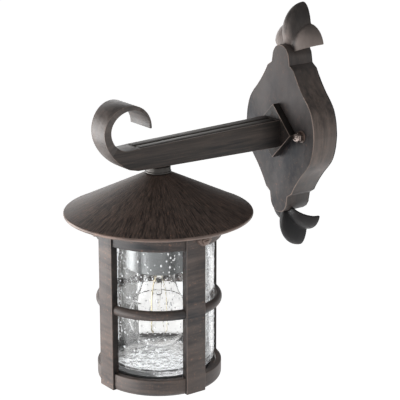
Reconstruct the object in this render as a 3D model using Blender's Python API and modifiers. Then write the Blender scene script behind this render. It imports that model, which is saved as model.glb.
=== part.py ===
"""Outdoor wall lantern: a wall plate, a tapered arm with a curled end, and a caged glass under a cone roof.

The wall is the plane y = 0, the arm points along -Y and +Z is up. The origin is the middle of the wall
face.
Lengths below are in millimetres, and each mesh is made in metres.
"""

import math

import bmesh
import bpy
from mathutils import Matrix, Vector

MM = 0.001
GAP = 0.3  # left between two pieces that touch

# Wall plate: a deep pan with a tongue and a leaf finial at each end
PLATE_DEPTH = 30.0
PLATE_WALL = 2.5
PLATE_BELLY = [(53.0, 0.0), (51.8, 12.0), (48.2, 24.0), (42.6, 32.4), (35.6, 40.0), (28.8, 48.6), (22.8, 57.6)]
PLATE_TONGUE = [(20.2, 62.2), (13.7, 66.4), (12.9, 71.0), (11.8, 76.6), (8.6, 81.6), (4.4, 84.2)]
PLATE_END = 84.8
EARTH_Z = 30.0
TERMINAL_Z = -34.0
BOSS_HEIGHT = 7.0
BOSS_RADIUS = 4.5
PILOT_RADIUS = 1.8  # the hole in each boss
CABLE_HOLE_RADIUS = 4.5
ARM_SCREW_HOLE = 2.3
GASKET_THICK = 1.2
GASKET_WIDTH = 4.0
LEAF_WALL = 2.0
MIDDLE_LEAF = ((0.0, -1.0, 97.0), (12.3, 25.0, 27.5))  # centre and radii
SIDE_LEAF = ((11.0, -1.0, 82.0), (21.2, 21.0, 22.6))
SIDE_LEAF_HEM = (11.5, 79.0, 0.4)  # the hem's x, z and slope

# Wall bracket and what holds the plate on it
BRACKET = (92.0, 2.5, 20.0)
STUD_X = 35.0
STUD_RADIUS = 2.5
WALL_SCREW_X = 19.0
SCREW_RADIUS = 2.0
NUT_RADIUS = 5.0
NUT_LENGTH = 9.0
WASHER_THICK = 1.0

# Arm, measured at its wall end and where the curl starts
ARM_BACK = (-39.0, 12.2, -13.7, 13.3)  # y, half width, underside, top
ARM_FRONT = (-205.0, 11.4, -11.3, 9.7)
ARM_SCREW_Z = 9.0
CHANNEL_HALF = 7.0
CHANNEL_FLOOR = 3.0
COVER_HALF = 9.3
COVER_THICK = 2.0
ROSETTE_DIAGONAL = 54.4
ROSETTE_THICK = 8.4
CURL_CENTRE = (-214.6, 28.7)  # y, z
CURL_RADIUS = 19.6
CURL_TIP_HALF = 16.3

# Lantern head, turned about a vertical axis
AXIS_Y = -175.5
ROOF_RADIUS = 90.0
ROOF_RIM_Z = -57.0
ROOF_APEX_RISE = 43.3
ROOF_SHEET = 1.5
ROOF_BEAD = 2.2
COLLAR_RADIUS = 12.5
NIPPLE_RADIUS = 5.0
NIPPLE_BORE = 3.7
LEAD_RADIUS = 2.3
NUT_THICK = 3.0
SPIGOT = (53.4, 55.2)  # inside and outside radii
SPIGOT_TOP = -44.0
BAND = (55.5, 62.0)
BAND_TOP = -47.0
BAND_BOTTOM = -79.5
POST_HALF = 10.8
POST = (55.5, 61.0)
RING_RADIUS = 57.0
RING_ROD = 4.1
RING_Z = -142.5
BASE_TOP = -206.3
BASE_BOTTOM = -223.6
BASE_OUTER = 60.2
BASE_INNER = 44.0
SEAT_DEPTH = 3.5
SEAT_THICK = 1.5
GLASS_OUTER = 52.4
GLASS_WALL = 3.0
GLASS_FLOOR = 5.0
GLASS_TOP = -62.0
GLASS_BEND = 8.0  # outside radius between the wall and the floor
CAGE_SCREW_TURNS = (99.0, 219.0, 339.0)  # degrees from -Y towards +X
CAGE_SCREW_Z = -72.0

# Lamp and its holder
CUP_RADIUS = 31.0
CUP_TOP = -65.0
CUP_BOTTOM = -111.8
CUP_SHEET = 1.2
HOLDER_RADIUS = 19.0
HOLDER_TOP = -73.0
HOLDER_BOTTOM = -110.0
CAP_RADIUS = 13.2
CAP_TOP = -88.4
CAP_BOTTOM = -113.0
BULB_RADIUS = 30.0
BULB_CENTRE = -163.0
BULB_WALL = 0.8

MATERIALS = {
    "bronze_paint": ((0.052, 0.038, 0.032, 1.0), 0.42, 0.75),
    "plate_paint": ((0.105, 0.096, 0.092, 1.0), 0.45, 0.7),
    "roof_paint": ((0.060, 0.036, 0.027, 1.0), 0.5, 0.7),
    "plated_steel": ((0.60, 0.59, 0.57, 1.0), 0.22, 1.0),
    "nickel": ((0.55, 0.50, 0.44, 1.0), 0.18, 1.0),
    "zinc_steel": ((0.46, 0.46, 0.45, 1.0), 0.4, 1.0),
    "grey_cup": ((0.30, 0.31, 0.31, 1.0), 0.5, 0.3),
    "brass": ((0.70, 0.50, 0.22, 1.0), 0.3, 1.0),
    "porcelain": ((0.86, 0.84, 0.78, 1.0), 0.3, 0.0),
    "nylon": ((0.80, 0.79, 0.74, 1.0), 0.5, 0.0),
    "rubber": ((0.03, 0.03, 0.03, 1.0), 0.8, 0.0),
    "lead_sheath": ((0.72, 0.70, 0.66, 1.0), 0.6, 0.0),
    "seeded_glass": ((0.93, 0.95, 0.95, 1.0), 0.04, 0.0),
    "bulb_glass": ((0.96, 0.97, 0.97, 1.0), 0.02, 0.0),
}


def clear_scene():
    for obj in list(bpy.data.objects):
        bpy.data.objects.remove(obj, do_unlink=True)


def new_collection(name, rendered=True):
    collection = bpy.data.collections.new(name)
    bpy.context.scene.collection.children.link(collection)
    collection.hide_render = not rendered
    return collection


def material(kind, part):
    colour, roughness, metallic = MATERIALS[kind]
    made = bpy.data.materials.new(f"{part}_{kind}")
    made.use_nodes = True
    shader = made.node_tree.nodes["Principled BSDF"]
    shader.inputs["Base Color"].default_value = colour
    shader.inputs["Roughness"].default_value = roughness
    shader.inputs["Metallic"].default_value = metallic
    if "glass" in kind:
        shader.inputs["Transmission Weight"].default_value = 0.9
    made.diffuse_color = colour
    return made


clear_scene()
PARTS = new_collection("outdoor_wall_lantern")
CUTTERS = new_collection("cutters", rendered=False)


def part(name, mesh, kind):
    obj = bpy.data.objects.new(name, mesh)
    PARTS.objects.link(obj)
    if not mesh.materials:
        mesh.materials.append(material(kind, name))
    return obj


def cutter(name, mesh):
    obj = bpy.data.objects.new(name, mesh)
    CUTTERS.objects.link(obj)
    obj.hide_render = True
    obj.display_type = "WIRE"
    return obj


def place(obj, x, y, z):
    obj.location = Vector((x, y, z)) * MM
    return obj


def outward(obj, turn=0.0):
    """Turns local +Z to point away from the wall, then by turn degrees from -Y towards +X."""
    obj.rotation_euler = (math.radians(90.0), 0.0, math.radians(turn))
    return obj


def boolean(obj, other, operation="DIFFERENCE"):
    modifier = obj.modifiers.new(other.name, "BOOLEAN")
    modifier.operation = operation
    modifier.solver = "EXACT"
    modifier.object = other


def bevel(obj, width, segments=1, angle=40.0):
    modifier = obj.modifiers.new("edges", "BEVEL")
    modifier.width = width * MM
    modifier.segments = segments
    modifier.limit_method = "ANGLE"
    modifier.angle_limit = math.radians(angle)


def mesh_from(name, bm, smooth=False):
    bmesh.ops.recalc_face_normals(bm, faces=bm.faces)
    mesh = bpy.data.meshes.new(name)
    bm.to_mesh(mesh)
    bm.free()
    for face in mesh.polygons:
        face.use_smooth = smooth
    return mesh


def box_mesh(name, low, high):
    """A box between two corners."""
    size = [(b - a) * MM for a, b in zip(low, high)]
    middle = [(a + b) / 2 * MM for a, b in zip(low, high)]
    bm = bmesh.new()
    bmesh.ops.create_cube(bm, size=1.0, matrix=Matrix.Translation(middle) @ Matrix.Diagonal((*size, 1.0)))
    return mesh_from(name, bm)


def rod_mesh(name, radius, low, high, sides=24):
    """A cylinder on the local Z axis."""
    bm = bmesh.new()
    middle = Matrix.Translation((0.0, 0.0, (low + high) / 2 * MM))
    bmesh.ops.create_cone(
        bm, cap_ends=True, segments=sides, radius1=radius * MM, radius2=radius * MM,
        depth=(high - low) * MM, matrix=middle,
    )
    return mesh_from(name, bm)


def ellipsoid_mesh(name, centre, radii):
    bm = bmesh.new()
    bmesh.ops.create_uvsphere(
        bm, u_segments=20, v_segments=12, radius=1.0,
        matrix=Matrix.Translation(Vector(centre) * MM) @ Matrix.Diagonal((*(Vector(radii) * MM), 1.0)),
    )
    return mesh_from(name, bm, smooth=True)


def loft_mesh(name, loops):
    """Joins loops of the same number of points with faces, and closes both ends."""
    bm = bmesh.new()
    rings = [[bm.verts.new(Vector(point) * MM) for point in loop] for loop in loops]
    for first, second in zip(rings, rings[1:]):
        for i in range(len(first)):
            j = (i + 1) % len(first)
            bm.faces.new((first[i], first[j], second[j], second[i]))
    bm.faces.new(rings[0])
    bm.faces.new(rings[-1])
    return mesh_from(name, bm)


def prism_mesh(name, outline, near, far):
    """An (x, z) outline run from y = near to y = far."""
    bm = bmesh.new()
    face = bm.faces.new([bm.verts.new(Vector((x, near, z)) * MM) for x, z in outline])
    run = bmesh.ops.extrude_face_region(bm, geom=[face])["geom"]
    moved = [item for item in run if isinstance(item, bmesh.types.BMVert)]
    bmesh.ops.translate(bm, verts=moved, vec=(0.0, (far - near) * MM, 0.0))
    return mesh_from(name, bm)


def turned(name, profile, kind, steps=32, closed=False):
    """Turns an (r, z) profile about Z. It runs down its outer side, and a closed one is a ring's section."""
    mesh = bpy.data.meshes.new(name)
    edges = [(i, i + 1) for i in range(len(profile) - 1)]
    if closed:
        edges.append((len(profile) - 1, 0))
    mesh.from_pydata([(r * MM, 0.0, z * MM) for r, z in profile], edges, [])
    obj = part(name, mesh, kind)
    screw = obj.modifiers.new("turn", "SCREW")
    screw.steps = steps
    screw.render_steps = steps
    screw.use_merge_vertices = True
    screw.merge_threshold = 0.00001
    screw.use_smooth_shade = True
    return obj


def ring(name, inner, outer, low, high, kind, steps=32):
    return turned(name, [(outer, high), (outer, low), (inner, low), (inner, high)], kind, steps, closed=True)


def arc(centre, radius, start, end, count):
    """Points on an arc, angles in degrees from the first axis towards the second."""
    angles = [math.radians(start + (end - start) * i / count) for i in range(count + 1)]
    return [(centre[0] + radius * math.cos(a), centre[1] + radius * math.sin(a)) for a in angles]


def smooth_through(points, steps):
    """A Catmull-Rom curve through the points."""
    ends = [points[0], *points, points[-1]]
    found = []
    for i in range(1, len(ends) - 2):
        p0, p1, p2, p3 = (Vector(p) for p in ends[i - 1 : i + 3])
        for k in range(steps):
            t = k / steps
            curve = p1 * 2 + (p2 - p0) * t + (p0 * 2 - p1 * 5 + p2 * 4 - p3) * t**2
            found.append(tuple((curve + (p1 * 3 - p0 - p2 * 3 + p3) * t**3) / 2))
    return found + [tuple(points[-1])]


def plate_outline(inset=0.0):
    """The wall plate's whole outline, moved in by inset."""
    quarter = smooth_through(PLATE_BELLY, 2) + smooth_through(PLATE_TONGUE, 1)
    top_right = quarter + [(0.0, PLATE_END)]
    top_left = [(-x, z) for x, z in reversed(quarter)]
    bottom = [(x, -z) for x, z in reversed(quarter[1:])]
    outline = top_right + top_left + [(-x, z) for x, z in reversed(bottom)] + [(0.0, -PLATE_END)] + bottom
    moved = []
    for i, point in enumerate(outline):
        before = Vector(outline[i - 1])
        after = Vector(outline[(i + 1) % len(outline)])
        along = (after - before).normalized()
        moved.append((point[0] - along.y * inset, point[1] + along.x * inset))
    return moved


def make_plate():
    """The pan, its gasket, and two bosses inside it for the earth and terminal screws."""
    pan = prism_mesh("backplate", plate_outline(), -PLATE_DEPTH, -GASKET_THICK - GAP)
    plate = part("backplate", pan, "plate_paint")
    inside = prism_mesh("plate_inside", plate_outline(PLATE_WALL), -PLATE_DEPTH + PLATE_WALL, 5.0)
    boolean(plate, cutter("plate_inside", inside))
    for name, z in (("earth_boss", EARTH_Z), ("terminal_boss", TERMINAL_Z)):
        boss_end = PLATE_DEPTH - PLATE_WALL - BOSS_HEIGHT
        boss = outward(cutter(name, rod_mesh(name, BOSS_RADIUS, boss_end, PLATE_DEPTH - 1.0)))
        boolean(plate, place(boss, 0.0, 0.0, z), "UNION")
        hole = outward(cutter(f"{name}_hole", rod_mesh(name, PILOT_RADIUS, 5.0, PLATE_DEPTH - 1.5, 12)))
        boolean(plate, place(hole, 0.0, 0.0, z))
    for x in (-STUD_X, STUD_X):
        boolean(plate, through_hole(f"plate_stud_hole_{x:.0f}", x, 0.0, STUD_RADIUS + 0.4))
    holes = {0.0: CABLE_HOLE_RADIUS, ARM_SCREW_Z: ARM_SCREW_HOLE, -ARM_SCREW_Z: ARM_SCREW_HOLE}
    for z, radius in holes.items():
        boolean(plate, through_hole(f"plate_hole_{z:.0f}", 0.0, z, radius))
    sheet = prism_mesh("wall_gasket", plate_outline(0.4), -GASKET_THICK, 0.0)
    gasket = part("wall_gasket", sheet, "rubber")
    inside = prism_mesh("gasket_inside", plate_outline(GASKET_WIDTH), -5.0, 5.0)
    boolean(gasket, cutter("gasket_inside", inside))


def through_hole(name, x, z, radius):
    """A cutter through the plate's face, the rosette and the arm's end."""
    return place(outward(cutter(name, rod_mesh(name, radius, PLATE_DEPTH - 5.0, 60.0, 16))), x, 0.0, z)


def make_finials():
    """Three hollow leaves at the plate's top, and the same turned over at its bottom."""
    def leaf(label, data, mirror, shrink):
        (x, y, z), radii = data
        return ellipsoid_mesh(label, (x * mirror, y, z), [radius - shrink for radius in radii])

    top = part("finial_top", leaf("finial_top", MIDDLE_LEAF, 1, 0.0), "bronze_paint")
    hem_x, hem_z, slope = SIDE_LEAF_HEM
    for mirror in (1, -1):
        boolean(top, cutter(f"side_leaf_{mirror}", leaf("side_leaf", SIDE_LEAF, mirror, 0.0)), "UNION")
    boolean(top, cutter("middle_hollow", leaf("middle_hollow", MIDDLE_LEAF, 1, LEAF_WALL)))
    for mirror in (1, -1):
        boolean(top, cutter(f"side_hollow_{mirror}", leaf("side_hollow", SIDE_LEAF, mirror, LEAF_WALL)))
    behind = box_mesh("leaf_behind", (-50.0, -GASKET_THICK - GAP, 40.0), (50.0, 40.0, 140.0))
    boolean(top, cutter("leaf_behind", behind))
    for mirror in (1, -1):
        low, high = sorted((-24.0 * mirror, 40.0 * mirror))
        hem = cutter(f"leaf_hem_{mirror}", box_mesh("leaf_hem", (low, -40.0, -40.0), (high, 20.0, 0.0)))
        hem.rotation_euler.y = -math.atan(slope) * mirror
        boolean(top, place(hem, hem_x * mirror, 0.0, hem_z))
    boolean(top, cutter("leaf_neck", prism_mesh("leaf_neck", plate_outline(-GAP), -60.0, 20.0)))

    bpy.context.view_layer.update()
    graph = bpy.context.evaluated_depsgraph_get()
    mesh = bpy.data.meshes.new_from_object(top.evaluated_get(graph))
    mesh.name = "finial_bottom"
    mesh.transform(Matrix.Scale(-1.0, 4, (0.0, 0.0, 1.0)))
    mesh.flip_normals()
    part("finial_bottom", mesh, "bronze_paint")


def make_bracket():
    """The strap on the wall, with its two studs, cap nuts, washers and wall screws."""
    length, thick, height = BRACKET
    strap_mesh = box_mesh("wall_bracket", (-length / 2, -thick, -height / 2), (length / 2, 0.0, height / 2))
    strap = part("wall_bracket", strap_mesh, "zinc_steel")
    shank = SCREW_RADIUS
    for side, x in (("left", -1), ("right", 1)):
        hole = outward(cutter(f"bracket_hole_{side}", rod_mesh(side, shank + GAP, -1.0, 5.0, 12)))
        boolean(strap, place(hole, WALL_SCREW_X * x, 0.0, 0.0))
        head = thick + GAP
        dome = [(0.0, head + 2.4), (2.6, head + 2.2), (4.2, head + 1.0), (4.2, head)]
        profile = [*dome, (shank, head), (shank, GAP), (0.0, GAP)]
        place(outward(turned(f"wall_screw_{side}", profile, "zinc_steel", 12)), WALL_SCREW_X * x, 0.0, 0.0)

        flange = head + 1.6
        end = PLATE_DEPTH + 7.5
        shaft = [(0.0, end), (STUD_RADIUS, end - 0.6), (STUD_RADIUS, flange)]
        profile = [*shaft, (4.5, flange), (4.5, head), (0.0, head)]
        place(outward(turned(f"bracket_stud_{side}", profile, "zinc_steel", 12)), STUD_X * x, 0.0, 0.0)

        washer = PLATE_DEPTH + GAP
        bore = STUD_RADIUS + GAP
        low = washer + WASHER_THICK
        face = outward(ring(f"cap_washer_{side}", bore, NUT_RADIUS + 0.9, washer, low, "nickel", 20))
        place(face, STUD_X * x, 0.0, 0.0)
        low += GAP
        dome = arc((0.0, low + NUT_LENGTH - 4.4), 4.4, 90.0, 0.0, 5)
        skirt = [(NUT_RADIUS, low + 4.0), (NUT_RADIUS, low)]
        profile = [*dome, *skirt, (bore, low), (bore, end + GAP), (0.0, end + 1.4)]
        place(outward(turned(f"cap_nut_{side}", profile, "nickel", 16)), STUD_X * x, 0.0, 0.0)


def make_wiring():
    """The terminal block and the earth screw inside the plate, and the lead through the arm to the holder."""
    face = PLATE_DEPTH - PLATE_WALL
    top = face - BOSS_HEIGHT - GAP
    low, high = (-14.0, -top, TERMINAL_Z - 6.0), (14.0, -top + 12.0, TERMINAL_Z + 6.0)
    block = part("terminal_block", box_mesh("terminal_block", low, high), "nylon")
    hole = outward(cutter("block_hole", rod_mesh("block_hole", 1.9, 0.0, 40.0, 12)))
    boolean(block, place(hole, 0.0, 0.0, TERMINAL_Z))
    screws = {"earth_screw": (EARTH_Z, top, "brass"), "terminal_screw": (TERMINAL_Z, top - 12.3, "zinc_steel")}
    for name, (z, head, kind) in screws.items():
        tip = face + 1.0
        shaft = [(0.0, tip), (1.5, tip), (1.5, head)]
        profile = [*shaft, (3.4, head), (3.4, head - 1.6), (2.4, head - 2.2), (0.0, head - 2.2)]
        place(outward(turned(name, profile, kind, 12)), 0.0, 0.0, z)

    route = [(-15.6, -27.4), (-15.6, -20.0), (-17.6, -9.0), (-24.0, -2.2), (-34.0, -0.4), (-50.0, 0.2)]
    route += [(-100.0, 1.4), (-150.0, 2.6), (-163.0, 3.0), (-170.6, 1.6), (-174.6, -2.6), (-175.4, -9.0)]
    route += [(AXIS_Y, -40.0), (AXIS_Y, -81.0)]
    curve = bpy.data.curves.new("supply_lead", "CURVE")
    curve.dimensions = "3D"
    curve.bevel_depth = LEAD_RADIUS * MM
    curve.bevel_resolution = 2
    curve.use_fill_caps = True
    spline = curve.splines.new("POLY")
    points = smooth_through(route, 4)
    spline.points.add(len(points) - 1)
    for point, (y, z) in zip(spline.points, points):
        point.co = (0.0, y * MM, z * MM, 1.0)
    curve.materials.append(material("lead_sheath", "supply_lead"))
    PARTS.objects.link(bpy.data.objects.new("supply_lead", curve))


def arm_section(y, half, low, high):
    return [(-half, y, low), (half, y, low), (half, y, high), (-half, y, high)]


def arm_top(y):
    share = (y - ARM_BACK[0]) / (ARM_FRONT[0] - ARM_BACK[0])
    return ARM_BACK[3] + (ARM_FRONT[3] - ARM_BACK[3]) * share


def top_strip(half, depth, rise, back, front):
    """Two sections of a strip let into the arm's top."""
    return [arm_section(y, half, arm_top(y) - depth, arm_top(y) + rise) for y in (back, front)]


def make_arm():
    """The tapered casting with its cable channel, its cover strip and the rosette behind it."""
    arm = part("arm", loft_mesh("arm", [arm_section(*ARM_BACK), arm_section(*ARM_FRONT)]), "bronze_paint")
    recess = top_strip(COVER_HALF + GAP, COVER_THICK + GAP, 5.0, -41.5, -202.5)
    boolean(arm, cutter("cover_recess", loft_mesh("cover_recess", recess)))
    low = [ARM_BACK[2] + CHANNEL_FLOOR, ARM_FRONT[2] + CHANNEL_FLOOR - 0.4]
    channel = [arm_section(y, CHANNEL_HALF, z, 20.0) for y, z in zip((-54.0, -188.0), low)]
    boolean(arm, cutter("arm_channel", loft_mesh("arm_channel", channel)))
    boolean(arm, through_hole("arm_cable_hole", 0.0, 0.0, CABLE_HOLE_RADIUS))
    for label, z in (("upper", ARM_SCREW_Z), ("lower", -ARM_SCREW_Z)):
        hole = outward(cutter(f"arm_{label}_hole", rod_mesh(label, ARM_SCREW_HOLE, 36.0, 50.5, 12)))
        boolean(arm, place(hole, 0.0, 0.0, z))
        head = PLATE_DEPTH - PLATE_WALL - GAP
        shaft = [(0.0, 50.0), (SCREW_RADIUS, 50.0), (SCREW_RADIUS, head)]
        profile = [*shaft, (3.8, head), (3.8, head - 2.0), (2.8, head - 2.6), (0.0, head - 2.6)]
        place(outward(turned(f"arm_screw_{label}", profile, "zinc_steel", 12)), 0.0, 0.0, z)
    nipple_hole = cutter("arm_nipple_hole", rod_mesh("arm_nipple_hole", NIPPLE_RADIUS + GAP, -20.0, 0.0, 20))
    boolean(arm, place(nipple_hole, 0.0, AXIS_Y, 0.0))

    strip = top_strip(COVER_HALF, COVER_THICK, -0.4, -41.9, -202.1)
    part("arm_cover_strip", loft_mesh("arm_cover_strip", strip), "bronze_paint")

    half = ROSETTE_DIAGONAL / math.sqrt(2.0) / 2
    near = PLATE_DEPTH + GAP
    tile = box_mesh("arm_rosette", (-half, -near - ROSETTE_THICK, -half), (half, -near, half))
    rosette = part("arm_rosette", tile, "bronze_paint")
    rosette.data.transform(Matrix.Rotation(math.radians(45.0), 4, "Y"))
    bevel(rosette, 0.7)
    for name in ("plate_hole_0", "plate_hole_9", "plate_hole_-9"):
        boolean(rosette, bpy.data.objects[name])


def make_curl():
    """The strap at the arm's end, which curls up and back over the arm, thinner and wider to its tip."""
    loops = []
    turns = 27
    for i in range(turns + 1):
        swept = 270.0 * i / turns
        angle = math.radians(-90.0 - swept)
        thick = 1.6 + 6.0 * ((270.0 - swept) / 180.0) ** 1.2
        if swept < 90.0:
            thick = 7.6 + 10.5 * (1.0 - swept / 90.0) ** 3
        widen = min(max((swept - 80.0) / 110.0, 0.0), 1.0)
        half = 11.3 + (CURL_TIP_HALF - 11.3) * widen * widen * (3.0 - 2.0 * widen)
        loop = []
        outside = CURL_RADIUS + thick
        for x, radius in ((-half, outside), (half, outside), (half, CURL_RADIUS), (-half, CURL_RADIUS)):
            y = CURL_CENTRE[0] + radius * math.cos(angle)
            loop.append((x, y, CURL_CENTRE[1] + radius * math.sin(angle)))
        loops.append(loop)
    y, half, low, high = ARM_FRONT
    root = arm_section(y - GAP, half, low, high)
    curl = part("arm_curl", loft_mesh("arm_curl", [root, *loops]), "bronze_paint")
    bevel(curl, 0.5, angle=50.0)


def at_axis(obj, turn=0.0):
    """Puts a piece made about the Z axis on the lantern's axis."""
    obj.location = Vector((0.0, AXIS_Y, 0.0)) * MM
    obj.rotation_euler.z += math.radians(turn)
    return obj


def cone_z(radius):
    """Height of the roof's outer skin."""
    return ROOF_RIM_Z + ROOF_APEX_RISE * (1.0 - radius / ROOF_RADIUS)


def make_roof():
    """The cone with its rolled rim, the collar above it, the spigot inside it and what clamps them."""
    flat = cone_z(COLLAR_RADIUS)
    bore = NIPPLE_RADIUS + GAP
    edge = ROOF_RADIUS - ROOF_BEAD
    rim = arc((edge, ROOF_RIM_Z - ROOF_BEAD + 1.0), ROOF_BEAD, 80.0, -180.0, 9)
    ceiling = flat - ROOF_SHEET
    under = [(edge - 3.0, cone_z(edge - 3.0) - ROOF_SHEET), (COLLAR_RADIUS + 0.6, ceiling), (bore, ceiling)]
    skin = [(bore, flat), (COLLAR_RADIUS, flat), *rim, *under]
    at_axis(turned("roof", skin, "roof_paint", 40, closed=True))

    low = flat + GAP
    high = ARM_FRONT[2] - 0.9
    inset = COLLAR_RADIUS - 0.8
    side = [(inset, high), (COLLAR_RADIUS, high - 0.8), (COLLAR_RADIUS, low + 0.8), (inset, low)]
    at_axis(turned("spacer_collar", [*side, (bore, low), (bore, high)], "plated_steel", 24, closed=True))

    at_axis(ring("roof_spigot", *SPIGOT, BAND_BOTTOM + 2.0, SPIGOT_TOP, "bronze_paint", 40))
    seal = ceiling - GAP
    at_axis(ring("roof_seal", bore, 11.0, seal - 1.5, seal, "rubber", 24))

    nipple_top = -3.8
    nipple_low = HOLDER_TOP - 8.0
    at_axis(ring("threaded_nipple", NIPPLE_BORE, NIPPLE_RADIUS, nipple_low, nipple_top, "zinc_steel", 20))
    floor = ARM_FRONT[2] + CHANNEL_FLOOR + GAP
    heights = {
        "nut_in_arm": floor,
        "nut_under_roof": seal - 1.5 - GAP - NUT_THICK,
        "nut_over_cup": CUP_TOP + GAP,
        "nut_in_cup": CUP_TOP - CUP_SHEET - GAP - NUT_THICK,
    }
    for name, z in heights.items():
        nut = part(name, rod_mesh(name, 8.0, 0.0, NUT_THICK, 6), "zinc_steel")
        hole = cutter(f"{name}_bore", rod_mesh(name, bore, -1.0, NUT_THICK + 1.0, 20))
        boolean(nut, hole)
        for piece in (nut, hole):
            at_axis(piece).location.z = z * MM


def make_lamp():
    """The grey cup, the lamp holder with its thread shell and contact, and the bulb."""
    bore = NIPPLE_RADIUS + GAP
    shoulder = arc((CUP_RADIUS - 6.0, CUP_TOP - 6.0), 6.0, 90.0, 0.0, 4)
    inner = arc((CUP_RADIUS - 6.0, CUP_TOP - 6.0), 6.0 - CUP_SHEET, 0.0, 90.0, 4)
    low = CUP_BOTTOM
    wall = [(CUP_RADIUS, low), (CUP_RADIUS - CUP_SHEET, low)]
    profile = [(bore, CUP_TOP), *shoulder, *wall, *inner, (bore, CUP_TOP - CUP_SHEET)]
    at_axis(turned("lampholder_cup", profile, "grey_cup", 24, closed=True))

    outer = HOLDER_RADIUS
    shell = CAP_RADIUS + GAP + 0.6
    side = [(outer - 5.0, HOLDER_TOP), (outer, HOLDER_TOP - 5.0), (outer, HOLDER_BOTTOM)]
    mouth = [(shell + GAP, HOLDER_BOTTOM), (shell + GAP, -86.0), (4.0, -86.0)]
    profile = [(bore, HOLDER_TOP), *side, *mouth, (4.0, -81.5), (bore, -81.5)]
    at_axis(turned("lampholder", profile, "porcelain", 24, closed=True))
    at_axis(ring("lampholder_thread", CAP_RADIUS + GAP, shell, HOLDER_BOTTOM + 1.0, -88.0, "brass", 24))
    contact = [(0.0, -86.3), (7.0, -86.3), (7.0, -87.1), (3.0, CAP_TOP + GAP), (0.0, CAP_TOP + GAP)]
    at_axis(turned("lampholder_contact", contact, "brass", 16))

    cap = [(0.0, CAP_TOP), (4.5, CAP_TOP), (6.0, CAP_TOP - 1.5), (CAP_RADIUS, CAP_TOP - 4.5)]
    at_axis(turned("bulb_cap", [*cap, (CAP_RADIUS, CAP_BOTTOM), (0.0, CAP_BOTTOM)], "nickel", 24))
    neck = CAP_BOTTOM - GAP
    outer_ball = arc((0.0, BULB_CENTRE), BULB_RADIUS, 50.0, -90.0, 9)
    outer_side = [(14.2, neck), (14.8, -121.0), (16.4, -130.0), *outer_ball]
    inner_ball = arc((0.0, BULB_CENTRE), BULB_RADIUS - BULB_WALL, -90.0, 50.0, 9)
    inner_side = [*inner_ball, (15.6, -130.0), (14.0, -121.0), (13.4, neck)]
    at_axis(turned("bulb_glass", inner_side + outer_side, "bulb_glass", 24))
    stem = [(0.0, neck), (9.5, neck), (5.0, -119.0), (3.2, -128.0), (2.6, -146.0), (0.0, -148.0)]
    at_axis(turned("bulb_stem", stem, "bulb_glass", 14))


def make_cage():
    """The glass in its cage: top band, four posts, a rod ring in four arcs, base ring and three screws."""
    band = at_axis(ring("cage_band", *BAND, BAND_BOTTOM, BAND_TOP, "bronze_paint", 40))
    for i, turn in enumerate(CAGE_SCREW_TURNS, 1):
        boss_mesh = rod_mesh(f"band_boss_{i}", 5.6, BAND[0] + 2.5, BAND[1] + 1.5, 20)
        boss = outward(cutter(f"band_boss_{i}", boss_mesh), turn)
        hole_mesh = rod_mesh(f"band_hole_{i}", 2.3, BAND[0] - 4.0, BAND[1] + 4.0, 12)
        hole = outward(cutter(f"band_hole_{i}", hole_mesh), turn)
        boolean(band, boss, "UNION")
        boolean(band, hole)
        head = BAND[1] + 1.5 + GAP
        dome = [(0.0, head + 2.0), (2.8, head + 1.8), (3.8, head + 0.8), (3.8, head)]
        profile = [*dome, (SCREW_RADIUS, head), (SCREW_RADIUS, BAND[0]), (0.0, BAND[0])]
        screw = outward(turned(f"cage_screw_{i}", profile, "nickel", 16), turn)
        for piece in (boss, hole, screw):
            place(piece, 0.0, AXIS_Y, CAGE_SCREW_Z)

    low = BASE_BOTTOM
    inner = GLASS_OUTER + 1.6
    seat = BASE_TOP - SEAT_DEPTH
    foot = arc((BASE_OUTER - 6.0, low + 6.0), 6.0, 0.0, -90.0, 4)
    pocket = [(BASE_INNER, low), (BASE_INNER, seat), (inner, seat), (inner, BASE_TOP)]
    base = at_axis(turned("base_ring", [(BASE_OUTER, BASE_TOP), *foot, *pocket], "bronze_paint", 40, closed=True))

    post_high = (POST_HALF, -POST[0], BAND_BOTTOM - GAP)
    post = box_mesh("cage_post", (-POST_HALF, -POST[1], BASE_BOTTOM + 1.2), post_high)
    notch_low = (-POST_HALF - GAP, -POST[1] - 3.0, BASE_BOTTOM - 5.0)
    notch = box_mesh("base_notch", notch_low, (POST_HALF + GAP, -POST[0] + GAP, BASE_TOP + 5.0))
    arc_curve = ring_arc_curve()
    for i in range(4):
        turn = 90.0 * i
        upright = at_axis(part(f"cage_post_{i + 1}", post, "bronze_paint"), turn)
        bevel(upright, 0.7)
        boolean(base, at_axis(cutter(f"base_notch_{i + 1}", notch), turn))
        rod = bpy.data.objects.new(f"ring_rod_{i + 1}", arc_curve)
        PARTS.objects.link(rod)
        at_axis(rod, turn)

    seat_low = seat + GAP
    seat_top = seat_low + SEAT_THICK
    at_axis(ring("glass_seat", BASE_INNER, GLASS_OUTER - 3.0, seat_low, seat_top, "rubber", 24))
    floor = seat_top + GAP
    wall = GLASS_OUTER - GLASS_WALL
    inside = [(0.0, floor + GLASS_FLOOR), *arc((wall - 6.0, floor + GLASS_FLOOR + 6.0), 6.0, -90.0, 0.0, 4)]
    outside = arc((GLASS_OUTER - GLASS_BEND, floor + GLASS_BEND), GLASS_BEND, 0.0, -90.0, 4)
    profile = [*inside, (wall, GLASS_TOP), (GLASS_OUTER, GLASS_TOP), *outside, (0.0, floor)]
    at_axis(turned("glass_cylinder", profile, "seeded_glass", 36))


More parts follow.
